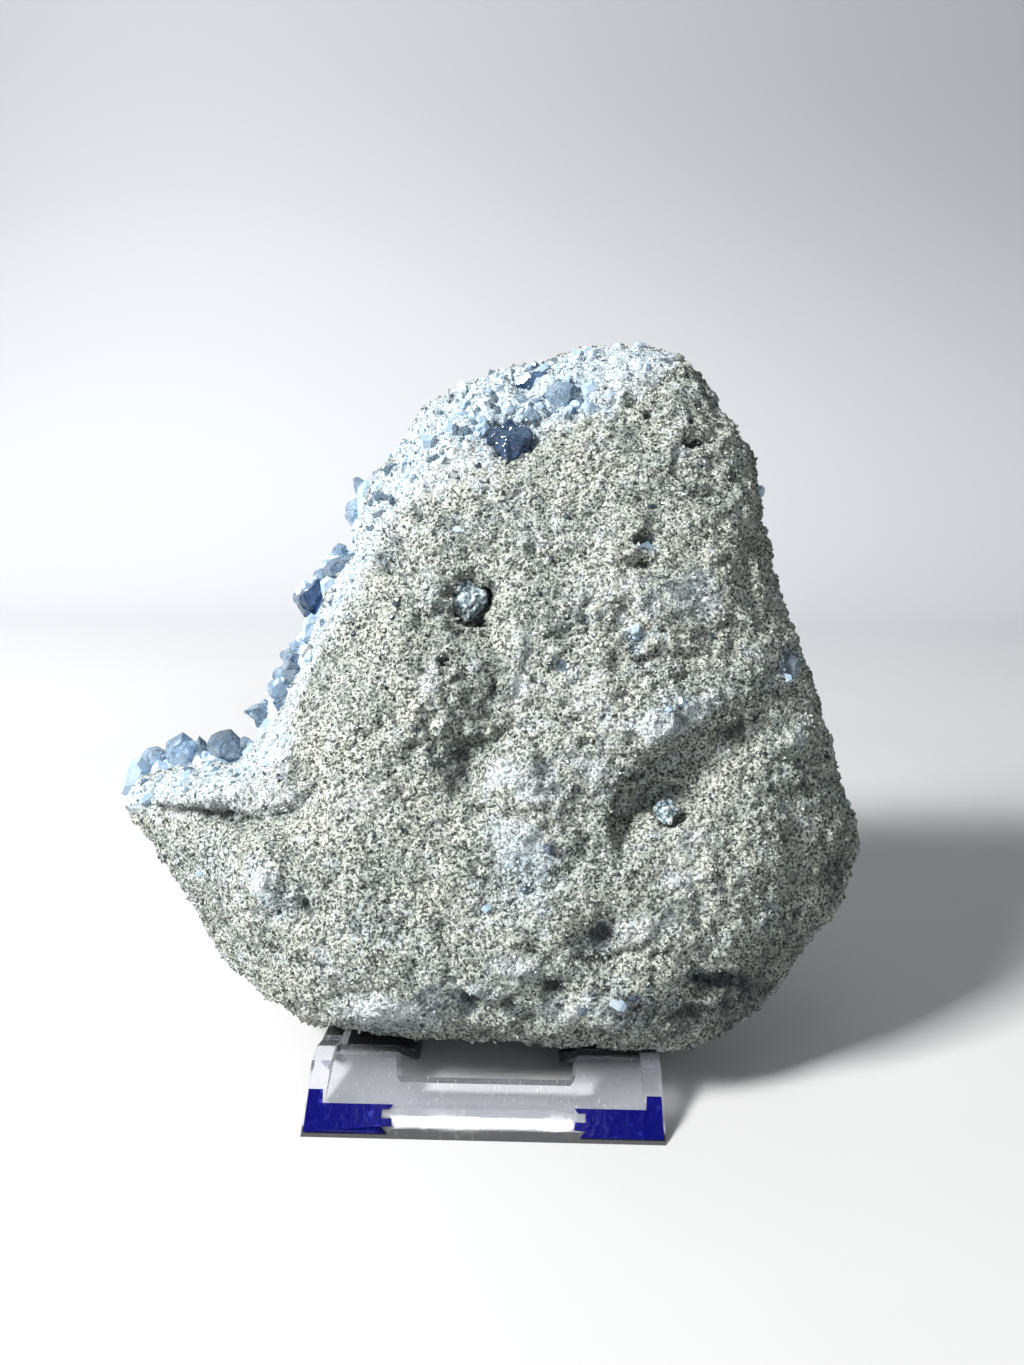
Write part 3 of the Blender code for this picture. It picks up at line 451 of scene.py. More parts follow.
class Value:
    """A socket of a look's nodes, which takes part in sums."""

    def __init__(self, look, socket):
        self.look = look
        self.socket = socket

    def sum(self, operation, first, second):
        return self.look.node("ShaderNodeMath", {"operation": operation}, {0: first, 1: second})

    def __add__(self, other):
        return self.sum("ADD", self, other)

    def __sub__(self, other):
        return self.sum("SUBTRACT", self, other)

    def __rsub__(self, other):
        return self.sum("SUBTRACT", other, self)

    def __mul__(self, other):
        return self.sum("MULTIPLY", self, other)

    __radd__ = __add__
    __rmul__ = __mul__


class Look:
    """A material built round one Principled shader."""

    def __init__(self, title, **constants):
        self.material = bpy.data.materials.new(title)
        self.material.use_nodes = True
        self.tree = self.material.node_tree
        self.shader = self.tree.nodes["Principled BSDF"]
        self.end = self.tree.nodes["Material Output"]
        for name, value in constants.items():
            self.shader.inputs[name.replace("_", " ")].default_value = value

    def node(self, kind, settings=None, sockets=None, output=0):
        made = self.tree.nodes.new(kind)
        for key, value in (settings or {}).items():
            setattr(made, key, value)
        for key, value in (sockets or {}).items():
            if isinstance(value, Value):
                self.tree.links.new(value.socket, made.inputs[key])
            else:
                made.inputs[key].default_value = value
        return Value(self, made.outputs[output])

    def feed(self, name, value):
        self.tree.links.new(value.socket, self.shader.inputs[name])

    def absorb(self, colour, density):
        """Let light through with this colour, the rest taken out the faster the denser it is."""
        inside = self.node("ShaderNodeVolumeAbsorption", None, {"Color": (*colour, 1), "Density": density})
        self.tree.links.new(inside.socket, self.end.inputs["Volume"])

    def place(self):
        return self.node("ShaderNodeTexCoord", output="Object")

    def grains(self, place, size):
        """Cells of about this size: the distance from a cell's middle, and a value for each cell."""
        cells = {"Vector": place, "Scale": 1 / size}
        colour = self.node("ShaderNodeTexVoronoi", None, cells, "Color")
        return (self.node("ShaderNodeTexVoronoi", None, cells, "Distance"),
                self.node("ShaderNodeSeparateColor", None, {0: colour}))

    def attribute(self, title):
        return self.node("ShaderNodeAttribute", {"attribute_name": title}, output="Fac")

    def clouds(self, place, size, detail=3.0, roughness=0.55):
        """Noise whose blotches are about this size."""
        return self.node("ShaderNodeTexNoise", None,
                         {"Vector": place, "Scale": 1 / size, "Detail": detail, "Roughness": roughness})

    def steps(self, value, low, high):
        """0 below low, 1 above high, smooth in between."""
        return self.node("ShaderNodeMapRange", {"interpolation_type": "SMOOTHSTEP"},
                         {"Value": value, "From Min": low, "From Max": high})

    def blend(self, share, first, second):
        first, second = ((*c, 1) if isinstance(c, tuple) else c for c in (first, second))
        return self.node("ShaderNodeMix", {"data_type": "RGBA"}, {0: share, 6: first, 7: second}, output=2)

    def bump(self, height, depth, strength=1.0, over=None):
        """Small relief; depth is how high a height of 1 stands."""
        sockets = {"Height": height, "Distance": depth, "Strength": strength}
        if over:
            sockets["Normal"] = over
        return self.node("ShaderNodeBump", None, sockets)


def rock_look():
    """Sand-like grains of grey-green rock, with a white rind, bluish patches, and painted shade in its pits
    and hollows, under its ledge and on its lower right.
    """
    look = Look("granular_rock", Roughness=0.9, IOR=1.5)
    place = look.place()
    gaps, kind = look.grains(place, 0.8 * MM)
    sand = look.clouds(place, 0.9 * MM, 4.0, 0.62)
    broad = look.clouds(place, 18 * MM)
    middle = look.clouds(place, 5 * MM)
    edge = look.clouds(place, 3.0 * MM, 5.0, 0.7)
    mottled = look.clouds(place, 8 * MM, 5.0, 0.68)
    white, blue, dark = (look.attribute(title) for title in PATCHES)
    bluish = look.blend(look.steps(kind, 0.3, 0.9), (0.68, 0.77, 0.81), (0.18, 0.23, 0.27))
    pale = look.blend(look.steps(kind, 0.65, 0.95), (0.80, 0.86, 0.88), (0.50, 0.58, 0.62))
    pale = look.blend(look.steps(blue, 0.3, 0.9) * 0.75, pale, (0.56, 0.72, 0.84))
    # Colour of the dark marks: painted shade for the hollows, the ledge groove and the lower right
    painted_shade = look.blend(look.steps(kind, 0.35, 0.9), (0.025, 0.032, 0.036), (0.16, 0.18, 0.18))
    # Grey-green to sandy rock; over it grey clouds, dark and white grains, bluish patches, the rind,
    # mottling, painted shade in the gaps between the grains where the sand relief sinks, and painted shade
    # on the dark marks
    stone = look.blend(look.steps(broad, 0.35, 0.65), (0.48, 0.53, 0.48), (0.63, 0.66, 0.58))
    for value, low, high, share, colour in (
            (middle, 0.50, 0.75, 0.5, (0.38, 0.42, 0.41)),
            (kind, 0.78, 0.92, 0.65, (0.10, 0.115, 0.11)),
            (kind, 0.28, 0.10, 0.6, (0.92, 0.93, 0.88)),
            (blue + edge * 1.2 - 0.6, 0.2, 0.75, 0.85, bluish),
            (white + edge * 1.4 - 0.7, 0.1, 0.7, 0.9, pale),
            (mottled, 0.54, 0.66, 0.7, (0.68, 0.76, 0.78)),
            (mottled, 0.44, 0.32, 0.7, (0.11, 0.14, 0.15)),
            # painted shade where the sand relief sinks, in the gaps between the grains
            (sand, 0.52, 0.39, 0.9 - white * 0.55, (0.035, 0.04, 0.04)),
            # painted shade on the dark marks
            (dark + edge - 0.5, 0.15, 0.7, 0.85, painted_shade)):
        stone = look.blend(look.steps(value, low, high) * share, stone, colour)
    look.feed("Base Color", stone)
    look.feed("Normal", look.bump(1 - gaps, 0.35 * MM, 0.8, look.bump(sand, 2.8 * MM)))
    return look.material


# The rock

def spot_shares(x, y, spots, ragged):
    """For each spot, its strength and how much of it each point gets, with a ragged edge."""
    for sx, sy, half_width, half_height, strength, *turn in spots:
        c = math.cos(math.radians(sum(turn)))
        s = math.sin(math.radians(sum(turn)))
        along = ((x - sx) * c + (y - sy) * s) / half_width
        across = ((y - sy) * c - (x - sx) * s) / half_height
        reach = np.sqrt(along ** 2 + across ** 2) * (1 + ragged)
        yield strength, np.exp(-reach ** 2.6)


def along_line(x, y, points):
    """For each place in the photograph: how far it is from a line, on which side, and how far along."""
    nearest = np.full(len(x), np.inf)
    side = np.zeros(len(x))
    share = np.zeros(len(x))
    lengths = [math.dist(a, b) for a, b in zip(points, points[1:])]
    walked = 0
    for (ax, ay), (bx, by), length in zip(points, points[1:], lengths):
        dx = (bx - ax) / length
        dy = (by - ay) / length
        on_edge = np.clip((x - ax) * dx + (y - ay) * dy, 0, length)
        away = np.hypot(x - ax - on_edge * dx, y - ay - on_edge * dy)
        nearer = away < nearest
        nearest = np.where(nearer, away, nearest)
        side = np.where(nearer, np.sign((y - ay) * dx - (x - ax) * dy), side)
        share = np.where(nearer, (walked + on_edge) / sum(lengths), share)
        walked += length
    return nearest, side, share


def step_depth(x, y, reach, points, ragged):
    """How deep each point lies under a broken step: 1 at the foot of its edge, 0 on its high side."""
    away, side, share = along_line(x, y, points)
    taper = np.clip(4 * share, 0, 1) * np.clip(4 * (1 - share), 0, 1)
    signed = side * away + STEP_RAGGEDNESS * ragged
    low = np.exp(-np.clip(signed, 0, None) / reach) * np.clip(signed / 2.5 + 0.5, 0, 1)
    return low * taper * np.exp(-(away / (3 * reach)) ** 2)


def rind_share(x, y, ragged):
    """How much of the white rind each point has."""
    points = [(px, py) for px, py, _ in RIND]
    away, _, share = along_line(x, y, points)
    walk = np.cumsum([0] + [math.dist(a, b) for a, b in zip(points, points[1:])])
    width = np.interp(share * walk[-1], walk, [width for _, _, width in RIND])
    return np.clip(1.45 - away / width * (1 + ragged), 0, 1)


def facing_front(places, normals):
    """1 where the surface faces the camera, 0 where it turns away."""
    way = np.array(EYE) - places
    way /= np.linalg.norm(way, axis=1)[:, None]
    return np.clip((np.sum(way * normals, axis=1) + 0.05) / 0.3, 0, 1)


def shape_rock():
    stone = copy_of("matrix", "stone")
    even_out(stone, ROCK_CELL, ROCK_SMOOTHING)
    places, normals = places_and_normals(stone)
    x, y = in_photo(places)
    front = facing_front(places, normals)
    ragged = swell(places, RAGGED_EDGE, 3)
    depth = np.zeros(len(places))
    for strength, share in spot_shares(x, y, HOLLOWS, ragged):
        depth += strength * share * front
    for deep, reach, *numbers in STEPS:
        depth += deep * step_depth(x, y, reach, pairs(numbers), ragged) * front
    rng = np.random.default_rng(ROCK_SEED)
    depth = (depth + swell(places, ROCK_SWELLS, 0)) * MM + ROCK_GRAIN * rng.uniform(-1, 1, len(places))
    shift = ROCK_SHIFT * rng.uniform(-1, 1, places.shape)
    set_places(stone, places - normals * depth[:, None] + shift)
    mark_rock(stone, places, front)
    stone.data.materials.append(rock_look())
    only(stone)
    bpy.ops.object.shade_smooth()
    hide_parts("matrix")
    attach(stone, "root")
    return stone


def mark_rock(stone, places, front):
    """Mark where the rock is white, bluish or dark, the dark marks being painted shade."""
    x, y = in_photo(places)
    ragged = swell(places, RAGGED_PATCH, 5)
    marks = {}
    for title, spots in PATCHES.items():
        marks[title] = np.zeros(len(places))
        for strength, share in spot_shares(x, y, spots, ragged):
            marks[title] = np.maximum(marks[title], strength * share * front)
    druse = tree_of(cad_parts["celestite_druse"])
    away = np.array([druse.find_nearest(Vector(p))[3] for p in places])
    near = np.clip(1.2 - away / HIDDEN_RIND, 0, 1)
    rind = np.maximum(rind_share(x, y, ragged) * front, near * (1 - front))
    marks["white"] = np.maximum(marks["white"], rind)
    extra_blue = np.maximum((1 - front) * (swell(places, ((HIDDEN_BLUE_SIZE, 1),), 8) > 0.25), 2 * rind - 1)
    marks["blue"] = np.maximum(marks["blue"], HIDDEN_BLUE * extra_blue)
    for title, values in marks.items():
        mark(stone, title, values)


def grain_shape(number):
    """One angular grain of unit radius."""
    bpy.ops.object.select_all(action="DESELECT")
    bpy.ops.mesh.primitive_cone_add(vertices=4, depth=2)
    grain = bpy.context.object
    pick(grain, "FACE", lambda face: face.normal.z < -0.9)
    bpy.ops.mesh.poke()
    bpy.ops.mesh.select_all(action="SELECT")
    bpy.ops.transform.translate(value=(0, 0, -0.5))
    bpy.ops.transform.vertex_random(offset=0.35, seed=number)
    bpy.ops.object.mode_set(mode="OBJECT")
    return taken(grain)


def random_turns(count, rng):
    """A random rotation matrix for each of many things."""
    return np.array([Quaternion(q).normalized().to_matrix() for q in rng.normal(size=(count, 4))])


def rock_grains(stone, title, count, seed, to_front):
    """Grains that stand out of the rock, each with the marks of the place where it sits."""
    places, normals = places_and_normals(stone)
    front = facing_front(places, normals)
    stone.data.calc_loop_triangles()
    corners = np.array([t.vertices for t in stone.data.loop_triangles])
    a, b, c = (places[corners[:, i]] for i in range(3))
    weight = np.linalg.norm(np.cross(b - a, c - a), axis=1)
    share = front[corners].mean(axis=1)
    weight *= share > 0.1 if to_front else share < 0.2
    rng = np.random.default_rng(seed)
    picks = rng.choice(len(weight), size=count, p=weight / weight.sum())
    mix = rng.dirichlet((1, 1, 1), count)
    spots = np.einsum("ni,nij->nj", mix, places[corners[picks]])
    root = corners[picks, 0]
    low, high = GRAIN_RADIUS
    radius = low + (high - low) * rng.uniform(0, 1, count) ** GRAIN_SMALLNESS
    spots -= normals[root] * (radius * rng.uniform(*GRAIN_SUNK, count))[:, None]
    stretch = radius[:, None] * rng.uniform(0.7, 1.3, (count, 3))
    shapes = [grain_shape(number) for number in range(GRAIN_SHAPES)]
    points = np.stack([points for points, _ in shapes])[rng.integers(len(shapes), size=count)]
    points = np.einsum("nij,nkj->nki", random_turns(count, rng), points * stretch[:, None, :])
    size = points.shape[1]
    faces = np.array(shapes[0][1]) + size * np.arange(count)[:, None, None]
    grains = new_piece(title, (points + spots[:, None, :]).reshape(-1, 3), faces.reshape(-1, 3).tolist(),
                       stone.data.materials[0])
    # The grains take the rock's marks, the painted shade of the dark ones too
    for name in PATCHES:
        mark(grains, name, np.repeat(marks_of(stone, name)[root], size))
    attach(grains, "root")


# The easel

def plastic_look():
    """Clear plastic with fine scratches and a faint grey-lilac tint in its depth."""
    look = Look("clear_plastic", IOR=1.49, Transmission_Weight=0.93, Base_Color=(0.93, 0.94, 0.98, 1))
    place = look.place()
    stretched = look.node("ShaderNodeVectorMath", {"operation": "MULTIPLY"}, {0: place, 1: (1.0, 0.12, 0.3)})
    scratches = look.steps(look.clouds(stretched, 0.5 * MM, 2.0), 0.62, 0.70)
    worn = look.steps(look.clouds(place, 12 * MM), 0.4, 0.7)
    look.feed("Roughness", worn * 0.05 + scratches * 0.25 + 0.015)
    look.feed("Normal", look.bump(scratches, 0.01 * MM, 0.4))
    look.absorb((0.72, 0.74, 0.86), 26.0)
    return look.material


def film_look():
    """Navy film, glossy, with faint wrinkles and paler rubbed places."""
    look = Look("navy_film", IOR=1.45, Specular_IOR_Level=0.4)
    place = look.place()
    rubbed = look.steps(look.clouds(place, 5 * MM, 4.0), 0.55, 0.75)
    streaks = look.steps(look.clouds(place, 1.6 * MM, 5.0, 0.7), 0.58, 0.74)
    worn = rubbed * 0.6 + streaks * 0.3
    look.feed("Base Color", look.blend(worn, (0.0015, 0.002, 0.09), (0.02, 0.03, 0.30)))
    look.feed("Roughness", rubbed * 0.3 + 0.14)
    look.feed("Normal", look.bump(look.clouds(place, 2.5 * MM, 3.0), 0.22 * MM, 0.6))
    return look.material


def clear_easel():
    """The easel with its edges rounded, as they come out of a mould."""
    easel = copy_of("easel", "clear_easel")
    apply(easel, "DECIMATE", decimate_type="DISSOLVE", angle_limit=math.radians(1.5))
    apply(easel, "BEVEL", width=EASEL_ROUNDING, segments=2, limit_method="ANGLE", angle_limit=SHARP_EDGE)
    easel.data.materials.append(plastic_look())
    only(easel)
    bpy.ops.object.shade_smooth_by_angle(angle=SHARP_EDGE)
    apply(easel, "WEIGHTED_NORMAL", keep_sharp=True)
    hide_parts("easel")
    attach(easel, "root")


def films():
    look = film_look()
    for side in ("left", "right"):
        node = "easel_film_" + side
        strip = copy_of(node, side + "_film")
        strip.data.materials.append(look)
        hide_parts(node)
        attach(strip, "root")


# Crystals

def seed_crystal(sides, ridge, point, shoulder, worn):
    """A crystal of unit radius and height: a prism drawn in at its top to a ridge, with worn edges."""
    bpy.ops.object.select_all(action="DESELECT")
    bpy.ops.mesh.primitive_cylinder_add(vertices=sides, depth=shoulder, location=(0, 0, shoulder / 2))
    thing = bpy.context.object
    bpy.ops.object.transform_apply(rotation=False, scale=False)
    pick(thing, "FACE", lambda face: face.normal.z > 0.9)
    bpy.ops.mesh.extrude_region_move(TRANSFORM_OT_translate={"value": (0, 0, 1 - shoulder)})
    bpy.ops.transform.resize(value=(ridge, point, 1))
    if worn:
        bpy.ops.mesh.select_all(action="SELECT")
        bpy.ops.mesh.bevel(offset=worn, segments=1, affect="EDGES")
    bpy.ops.object.mode_set(mode="OBJECT")
    return taken(thing)


def aimed(spot, way, width, thinness, length, sunk, rng):
    """Where a unit crystal goes: along its way, its root sunk under the spot by a share of its length."""
    twist = Matrix.Rotation(rng.uniform(0, math.pi), 4, "Z")
    thickness = width * rng.uniform(*thinness)
    turn = way.to_track_quat("Z", "Y").to_matrix().to_4x4() @ twist
    size = Matrix.Diagonal((width / 2, thickness / 2, length, 1))
    return Matrix.Translation(spot - way * length * sunk) @ turn @ size


def joined(title, crystals, material):
    """One piece of many crystals, each a copy of a seed at its place."""
    points = []
    faces = []
    start = 0
    for (seed_points, seed_faces), place in crystals:
        turn = np.array(place)
        points.append(seed_points @ turn[:3, :3].T + turn[:3, 3])
        faces.extend(tuple(start + i for i in face) for face in seed_faces)
        start += len(seed_points)
    thing = new_piece(title, np.concatenate(points), faces, material)
    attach(thing, "root")


def crystal_look(title, clear, light, deep, passed, density, roughness, frost):
    """Clear crystal that takes out some of the light on its way through, with frosted and milky blotches."""
    look = Look(title, Roughness=roughness, IOR=1.62, Transmission_Weight=clear)
    place = look.place()
    blotches = look.clouds(place, 4 * MM, 4.0)
    look.feed("Base Color", look.blend(look.steps(blotches, 0.35, 0.65), light, deep))
    look.feed("Roughness", look.steps(blotches, 0.45, 0.75) * frost + roughness)
    look.feed("Normal", look.bump(look.clouds(place, 0.7 * MM, 2.0), 0.05 * MM, 0.35))
    look.absorb(passed, density)
    return look.material


def fragment_look():
    """A mottled lump, blue-grey and white."""
    look = Look("mottled_fragment", Roughness=0.4, IOR=1.6)
    place = look.place()
    mottles = look.clouds(place, 1.3 * MM, 5.0, 0.7)
    colour = look.blend(look.steps(mottles, 0.40, 0.50), (0.02, 0.04, 0.055), (0.20, 0.27, 0.30))
    look.feed("Base Color", look.blend(look.steps(mottles, 0.51, 0.60), colour, (0.72, 0.76, 0.73)))
    look.feed("Normal", look.bump(mottles, 1.2 * MM, 0.9))
    return look.material


def bed_look():
    """The pale ground that the crystals stand on: tiny crystals grown together."""
    look = Look("crystal_bed", Roughness=0.35, IOR=1.55)
    place = look.place()
    gaps, kind = look.grains(place, 1.6 * MM)
    broad = look.clouds(place, 9 * MM)
    pale = look.blend(look.steps(kind, 0.1, 0.9), (0.78, 0.85, 0.90), (0.42, 0.55, 0.68))
    deep = look.blend(look.steps(kind, 0.1, 0.9), (0.40, 0.52, 0.64), (0.16, 0.24, 0.36))
    look.feed("Base Color", look.blend(look.steps(broad, 0.42, 0.66), pale, deep))
    look.feed("Normal", look.bump(1 - gaps, 0.8 * MM, 0.9))
    return look.material


def crystal_bed():
    bed = copy_of("celestite_druse", "crystal_bed")
    even_out(bed, BED_CELL, BED_SMOOTHING)
    places, normals = places_and_normals(bed)
    rng = np.random.default_rng(BED_SEED)
    depth = BED_SUNK + MM * swell(places, BED_SWELL, 12) + BED_GRAIN * rng.uniform(-1, 1, len(places))
    set_places(bed, places - normals * depth[:, None])
    bed.data.materials.append(bed_look())
    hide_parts("celestite_druse")
    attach(bed, "root")
    return bed


def apexes(bed_tree):
    """Where the druse's large crystals end, the furthest from the bed first."""
    guide = copy_of("celestite_druse", "apex_guide")
    heights = [bed_tree.find_nearest(v.co)[3] for v in guide.data.vertices]
    highest = list(heights)
    for edge in guide.data.edges:
        a, b = edge.vertices
        highest[a] = max(highest[a], heights[b])
        highest[b] = max(highest[b], heights[a])
    found = []
    for i in sorted(range(len(heights)), key=lambda i: -heights[i]):
        spot = guide.data.vertices[i].co.copy()
        apart = all((spot - other).length > APEX_SPACING for other, _ in found)
        if heights[i] > LOWEST_APEX and heights[i] >= highest[i] and apart:
            found.append((spot, heights[i]))
    bpy.data.objects.remove(guide, do_unlink=True)
    return found


def scattered(thing, count, seed, allowed):
    """Random places on a mesh, evenly spread by area, with their normals."""
    mesh = thing.data
    areas = np.array([f.area for f in mesh.polygons])
    rng = np.random.default_rng(seed)
    picks = rng.choice(len(areas), size=count, p=areas / areas.sum())
    for number in picks:
        face = mesh.polygons[int(number)]
        corners = [mesh.vertices[i].co for i in face.vertices]
        weights = rng.dirichlet([1] * len(corners))
        spot = sum((c * w for c, w in zip(corners, weights)), Vector())
        if allowed(spot, face):
            yield spot, face.normal.copy()


def spaced(places, spacing):
    """Leave out each place that is too near to one before it."""
    kept = {}
    for spot, normal in places:
        cell = [math.floor(c / spacing) for c in spot]
        near = (kept.get((cell[0] + i, cell[1] + j, cell[2] + k))
                for i in (-1, 0, 1) for j in (-1, 0, 1) for k in (-1, 0, 1))
        if all(other is None or (other - spot).length > spacing for other in near):
            kept[tuple(cell)] = spot
            yield spot, normal


def tilted(way, tilt, rng):
    shake = Vector([rng.uniform(-tilt, tilt) for _ in range(3)])
    return (way + shake).normalized()


def smaller_crystals(bed, allowed, shapes, rng, tries, seed, spacing, widths, lengths, tilt, sunk):
    """Crystals all over the bed; lengths are shares of their widths, sunk is a share of their length."""
    for spot, normal in spaced(scattered(bed, tries, seed, allowed), spacing * MM):
        width = rng.uniform(*widths) * MM
        length = width * rng.uniform(*lengths)
        place = aimed(spot, tilted(normal, tilt, rng), width, (0.6, 0.95), length, sunk, rng)
        yield rng.choice(shapes), place


def druse_crystals(bed, stone_tree, seeds):
    """The hollow's crystals: large ones that end where the druse's do, and smaller ones between them."""
    rng = random.Random(DRUSE_SEED)
    bed_tree = tree_of(bed)

    def open_side(spot, face):
        blocked = stone_tree.ray_cast(spot + face.normal * 0.5 * MM, face.normal, 6 * MM)[0]
        return blocked is None and face.normal.y > -0.35

    large = []
    for spot, height in apexes(bed_tree):
        normal = bed_tree.find_nearest(spot)[1]
        inwards = (HOLLOW_MIDDLE - spot).normalized()
        way = tilted((normal + inwards * 0.6).normalized(), 0.25, rng)
        length = height * 1.02 + 5 * MM
        width = min(max(height * rng.uniform(1.1, 1.5), 9 * MM), 17 * MM)
        place = aimed(spot, way, width, (0.6, 0.9), length, 1, rng)
        large.append((rng.choice(seeds["large"]), place))
    middle = list(smaller_crystals(bed, open_side, seeds["large"], rng, tries=5000, seed=21, spacing=5.2,
                                   widths=(4.5, 8.5), lengths=(0.8, 1.35), tilt=0.45, sunk=0.42))
    small = list(smaller_crystals(bed, open_side, seeds["small"], rng, tries=12000, seed=22, spacing=2.6,
                                  widths=(1.8, 3.8), lengths=(0.8, 1.5), tilt=0.6, sunk=0.4))
    return large, middle, small


def outlined(outline, distance, forward, backward, rng):
    """A crystal with its outline as in the photograph, cut back to a smaller face before and behind."""
    bpy.ops.object.select_all(action="DESELECT")
    bpy.ops.mesh.primitive_circle_add(vertices=len(outline), fill_type="NGON")
    thing = bpy.context.object
    corners = [EYE + sight(x, y) * (distance + rng.uniform(-0.5, 0.5) * MM) for x, y in outline]
    for vertex, corner in zip(thing.data.vertices, corners):
        vertex.co = corner
    middle = sum(corners, Vector()) / len(corners)
    width = max((corner - middle).length for corner in corners)
    ahead = (middle - EYE).normalized()
    cuts = ((-forward, 0.55, lambda face: True), (backward, 0.7, lambda face: face.normal.dot(ahead) > 0.7))
    for way, share, wanted in cuts:
        shake = Vector([rng.uniform(-0.3, 0.3) for _ in range(3)]) * width
        move = ahead * way * width
        pick(thing, "FACE", wanted)
        bpy.ops.mesh.extrude_region_move(TRANSFORM_OT_translate={"value": move})
        bpy.ops.transform.resize(value=(share, share, share), center_override=middle + move + shake)
        bpy.ops.mesh.select_all(action="SELECT")
        bpy.ops.mesh.normals_make_consistent(inside=False)
        bpy.ops.object.mode_set(mode="OBJECT")
    return taken(thing)


def edge_crystals(druse_tree):
    """The crystals that show over the broken edge."""
    rng = random.Random(EDGE_SEED)
    for kind, *numbers in EDGE_CRYSTALS:
        outline = pairs(numbers)
        way = sight_of(outline)
        hit, _, _, distance = druse_tree.ray_cast(EYE, way)
        if hit is None:
            distance = (druse_tree.find_nearest(EYE + way * EDGE_DISTANCE)[0] - EYE).length
        yield kind, outlined(outline, distance + 1.5 * MM, 0.5, 0.8, rng), Matrix()


def face_crystals(stone_tree):
    """Crystals set in the rock side."""
    rng = random.Random(FACE_SEED)
    for kind, *numbers in FACE_CRYSTALS:
        outline = pairs(numbers)
        distance = stone_tree.ray_cast(EYE, sight_of(outline))[3]
        yield kind, outlined(outline, distance - 0.2 * MM, 0.25, 0.9, rng), Matrix()


def scattered_face_crystals(stone, shapes):
    """Small crystals that peep out of the rock where it is bluish, and a few dark ones elsewhere."""
    rng = random.Random(FACE_SEED + 1)
    blue = marks_of(stone, "blue")

    def bluish(spot, face):
        return blue[face.vertices[0]] ** 3 > rng.uniform(0.08, 1) or rng.random() < STRAY_SHARE

    corners = KDTree(len(blue))
    for i, vertex in enumerate(stone.data.vertices):
        corners.insert(vertex.co, i)
    corners.balance()
    for spot, normal in spaced(scattered(stone, 26000, 31, bluish), 1.7 * MM):
        stray = blue[corners.find(spot)[1]] < STRAY_BLUE
        width = rng.uniform(1.0, 2.4 if stray else 4.4) * MM
        length = width * rng.uniform(0.9, 1.4)
        way = tilted(normal, 0.8, rng)
        place = aimed(spot, way, width, (0.6, 1), length, rng.uniform(0.62, 0.85), rng)
        kind = "dark" if stray else rng.choice(("ice", "ice", "ice", "slate"))
        yield kind, rng.choice(shapes), place


def pocket_fragment(node, look, spread, rounding):
    """A blunt lump of crystal, in place of a pocket's crystals."""
    lump = copy_of(node, node.replace("crystal", "fragment"))
    bpy.ops.object.mode_set(mode="EDIT")
    bpy.ops.mesh.select_all(action="SELECT")
    bpy.ops.mesh.convex_hull(delete_unused=True, use_existing_faces=False)
    bpy.ops.transform.resize(value=(spread, 1, spread))
    bpy.ops.object.mode_set(mode="OBJECT")
    even_out(lump, LUMP_CELL, rounding)
    places, normals = places_and_normals(lump)
    depth = LUMP_WORN + MM * swell(places, LUMP_SWELLS, 17)
    set_places(lump, places - normals * depth[:, None])
    lump.data.materials.append(look)
    only(lump)
    bpy.ops.object.shade_smooth_by_angle(angle=math.radians(25))
    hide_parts(node)
    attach(lump, "root")


# Around the object

def floor_look():
    """Plain and pale, a little darker where it lies level than where it rises behind the object: paler
    towards the back, painted light where less lamp light reaches, and greyer high up the rise.
    """
    look = Look("pale_floor", Roughness=0.6)
    place = look.place()
    depth, height = (look.node("ShaderNodeSeparateXYZ", None, {0: place}, axis) for axis in (1, 2))
    drift = look.clouds(place, 300 * MM)
    level = look.blend(look.steps(drift, 0.3, 0.7), (0.50, 0.50, 0.50), (0.46, 0.46, 0.465))
    # Painted light: paler towards the back, where less lamp light reaches the floor
    far = look.blend(look.steps(depth, 0.1, 0.8), level, (0.60, 0.615, 0.635))
    look.feed("Base Color", look.blend(look.steps(height, 0.03, 0.7), far, (0.39, 0.40, 0.42)))
    return look.material


def surroundings():
    """A wide floor that sweeps up behind the object."""
    bpy.ops.object.select_all(action="DESELECT")
    bpy.ops.mesh.primitive_plane_add(size=2.4, location=(0, 0, 0))
    floor = bpy.context.object
    floor.name = "floor"

    def ends(edge):
        return [floor.data.vertices[i].co.y for i in edge.vertices]

    pick(floor, "EDGE", lambda edge: min(ends(edge)) > 0.5)
    bpy.ops.mesh.extrude_region_move(TRANSFORM_OT_translate={"value": (0, 0, 2)})
    bpy.ops.mesh.select_all(action="SELECT")
    bpy.ops.transform.resize(value=(4, 1, 1))
    bpy.ops.object.mode_set(mode="OBJECT")
    pick(floor, "EDGE", lambda edge: max(ends(edge)) < -0.5)
    bpy.ops.transform.translate(value=(0, -3, 0))
    bpy.ops.object.mode_set(mode="OBJECT")
    bevel = floor.modifiers.new("sweep", "BEVEL")
    bevel.width = 0.5
    bevel.segments = 16
    floor.data.materials.append(floor_look())
    bpy.ops.object.shade_smooth()
    floor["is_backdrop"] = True


def light(title, place, target, size, power, colour):
    lamp = bpy.data.lights.new(title, "AREA")
    lamp.shape = "RECTANGLE"
    lamp.size, lamp.size_y = size
    lamp.energy = power
    lamp.color = colour
    thing = added(title, lamp)
    thing.location = place
    thing.rotation_euler = (Vector(target) - Vector(place)).to_track_quat("-Z", "Y").to_euler()


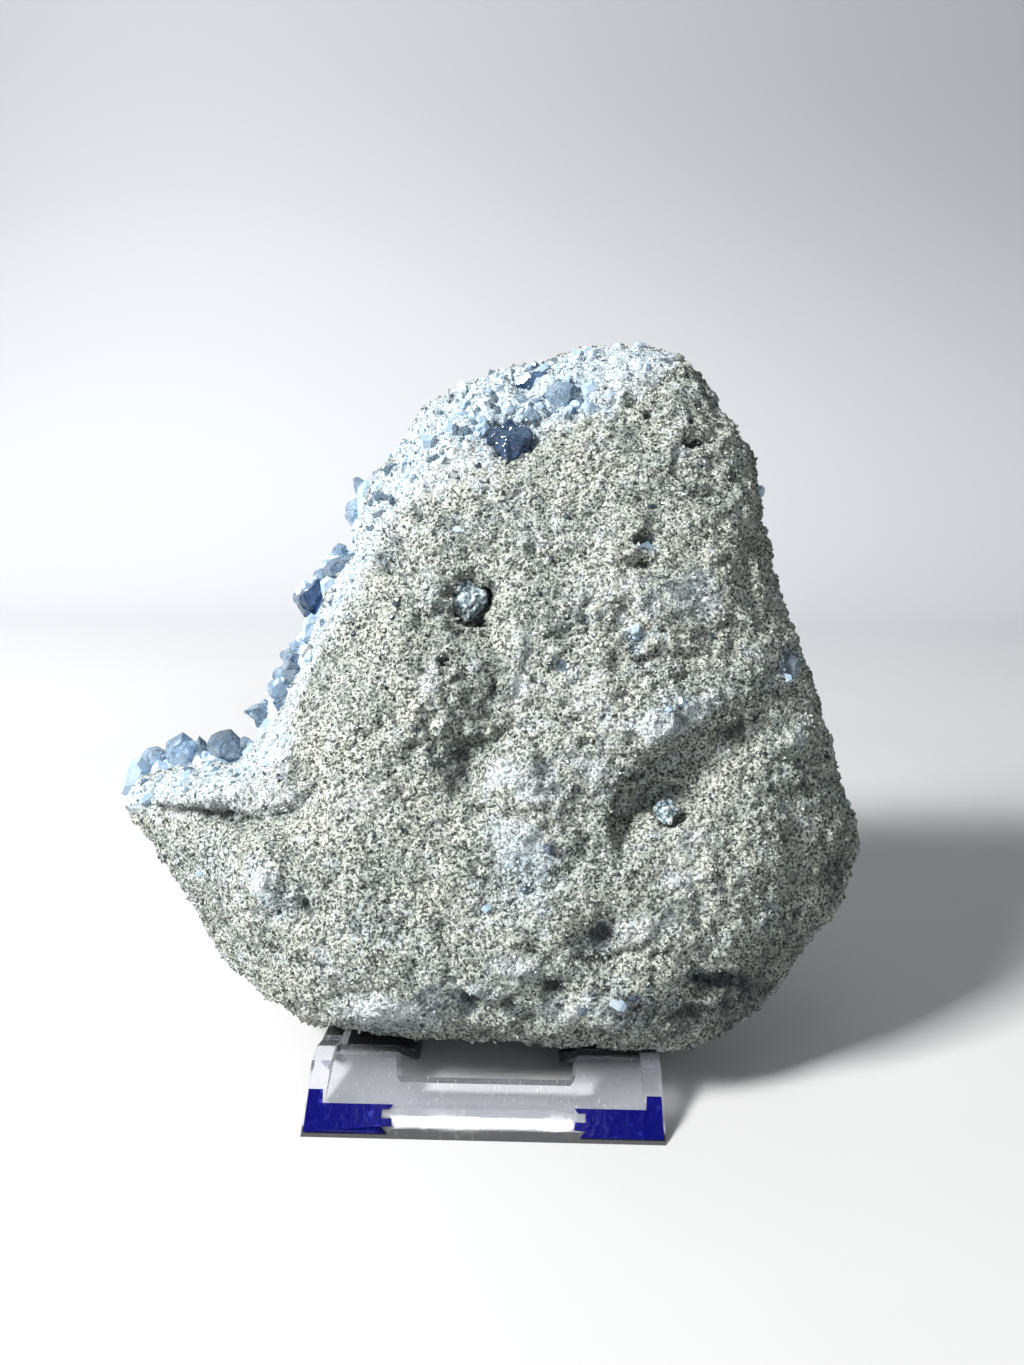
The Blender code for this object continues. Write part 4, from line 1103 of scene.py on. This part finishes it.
def studio():
    """Soft daylight from the left, and a strip that is reflected in the easel's front bar."""
    world = bpy.data.worlds.new("soft_room")
    bpy.context.scene.world = world
    world.use_nodes = True
    background = world.node_tree.nodes["Background"]
    background.inputs["Color"].default_value = (0.93, 0.96, 1, 1)
    background.inputs["Strength"].default_value = 0.26
    middle = (0, 0, 0.10)
    light("window", (-1.0, -0.62, 1.05), middle, (0.35, 0.35), 50.0, (1.0, 0.995, 0.98))
    light("fill", (0.5, -1.2, 0.7), middle, (0.8, 0.8), 3.0, (0.93, 0.96, 1.0))
    light("backdrop", (0.0, 0.1, 1.9), (0, 1.1, 0.5), (1.0, 1.0), 2.0, (0.97, 0.99, 1.0))
    light("strip", (-0.057, -0.548, 1.105), (-0.057, -0.0786, 0.003), (0.25, 0.012), 0.24, (0.97, 0.97, 1.0))
    bpy.context.scene.view_settings.view_transform = "Standard"
    bpy.context.scene.view_settings.look = "Medium High Contrast"


def camera():
    data = bpy.data.cameras.new("camera")
    data.sensor_width = SENSOR
    data.lens = SENSOR * FOCUS / PHOTO_HEIGHT
    data.clip_start = 0.01
    thing = added("camera", data)
    axes = Matrix((RIGHT, UP, -AHEAD)).transposed()
    thing.matrix_world = Matrix.Translation(EYE) @ axes.to_4x4()
    bpy.context.scene.camera = thing


camera()
studio()
surroundings()
stone = shape_rock()
rock_grains(stone, "front_grains", *FRONT_GRAINS, to_front=True)
rock_grains(stone, "side_grains", *SIDE_GRAINS, to_front=False)
clear_easel()
films()
seeds = {kind: [seed_crystal(*sizes) for sizes in rows] for kind, rows in SEED_CRYSTALS.items()}
looks = {kind: crystal_look(kind + "_crystal", *values) for kind, values in CRYSTAL_LOOKS.items()}
mottled = fragment_look()
pocket_fragment("pocket_crystal_left", mottled, 1.7, 60)
pocket_fragment("pocket_crystal_top", looks["navy"], 1.2, 0)
pocket_fragment("pocket_crystal_crevice", mottled, 0.72, 8)
bed = crystal_bed()
large, middle, small = druse_crystals(bed, tree_of(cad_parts["matrix"]), seeds)
joined("large_crystals", large, looks["steel"])
joined("middle_crystals", middle, looks["steel"])
joined("small_crystals", small, looks["ice"])
shown = list(edge_crystals(tree_of(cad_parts["celestite_druse"])))
shown += face_crystals(tree_of(stone))
shown += scattered_face_crystals(stone, seeds["blunt"])
for title, look in looks.items():
    joined(title + "_crystals", [(seed, place) for kind, seed, place in shown if kind == title], look)
boxes = {"cad": cad_box, "visual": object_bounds()}
{name: [list(low), list(high)] for name, (low, high) in boxes.items()}
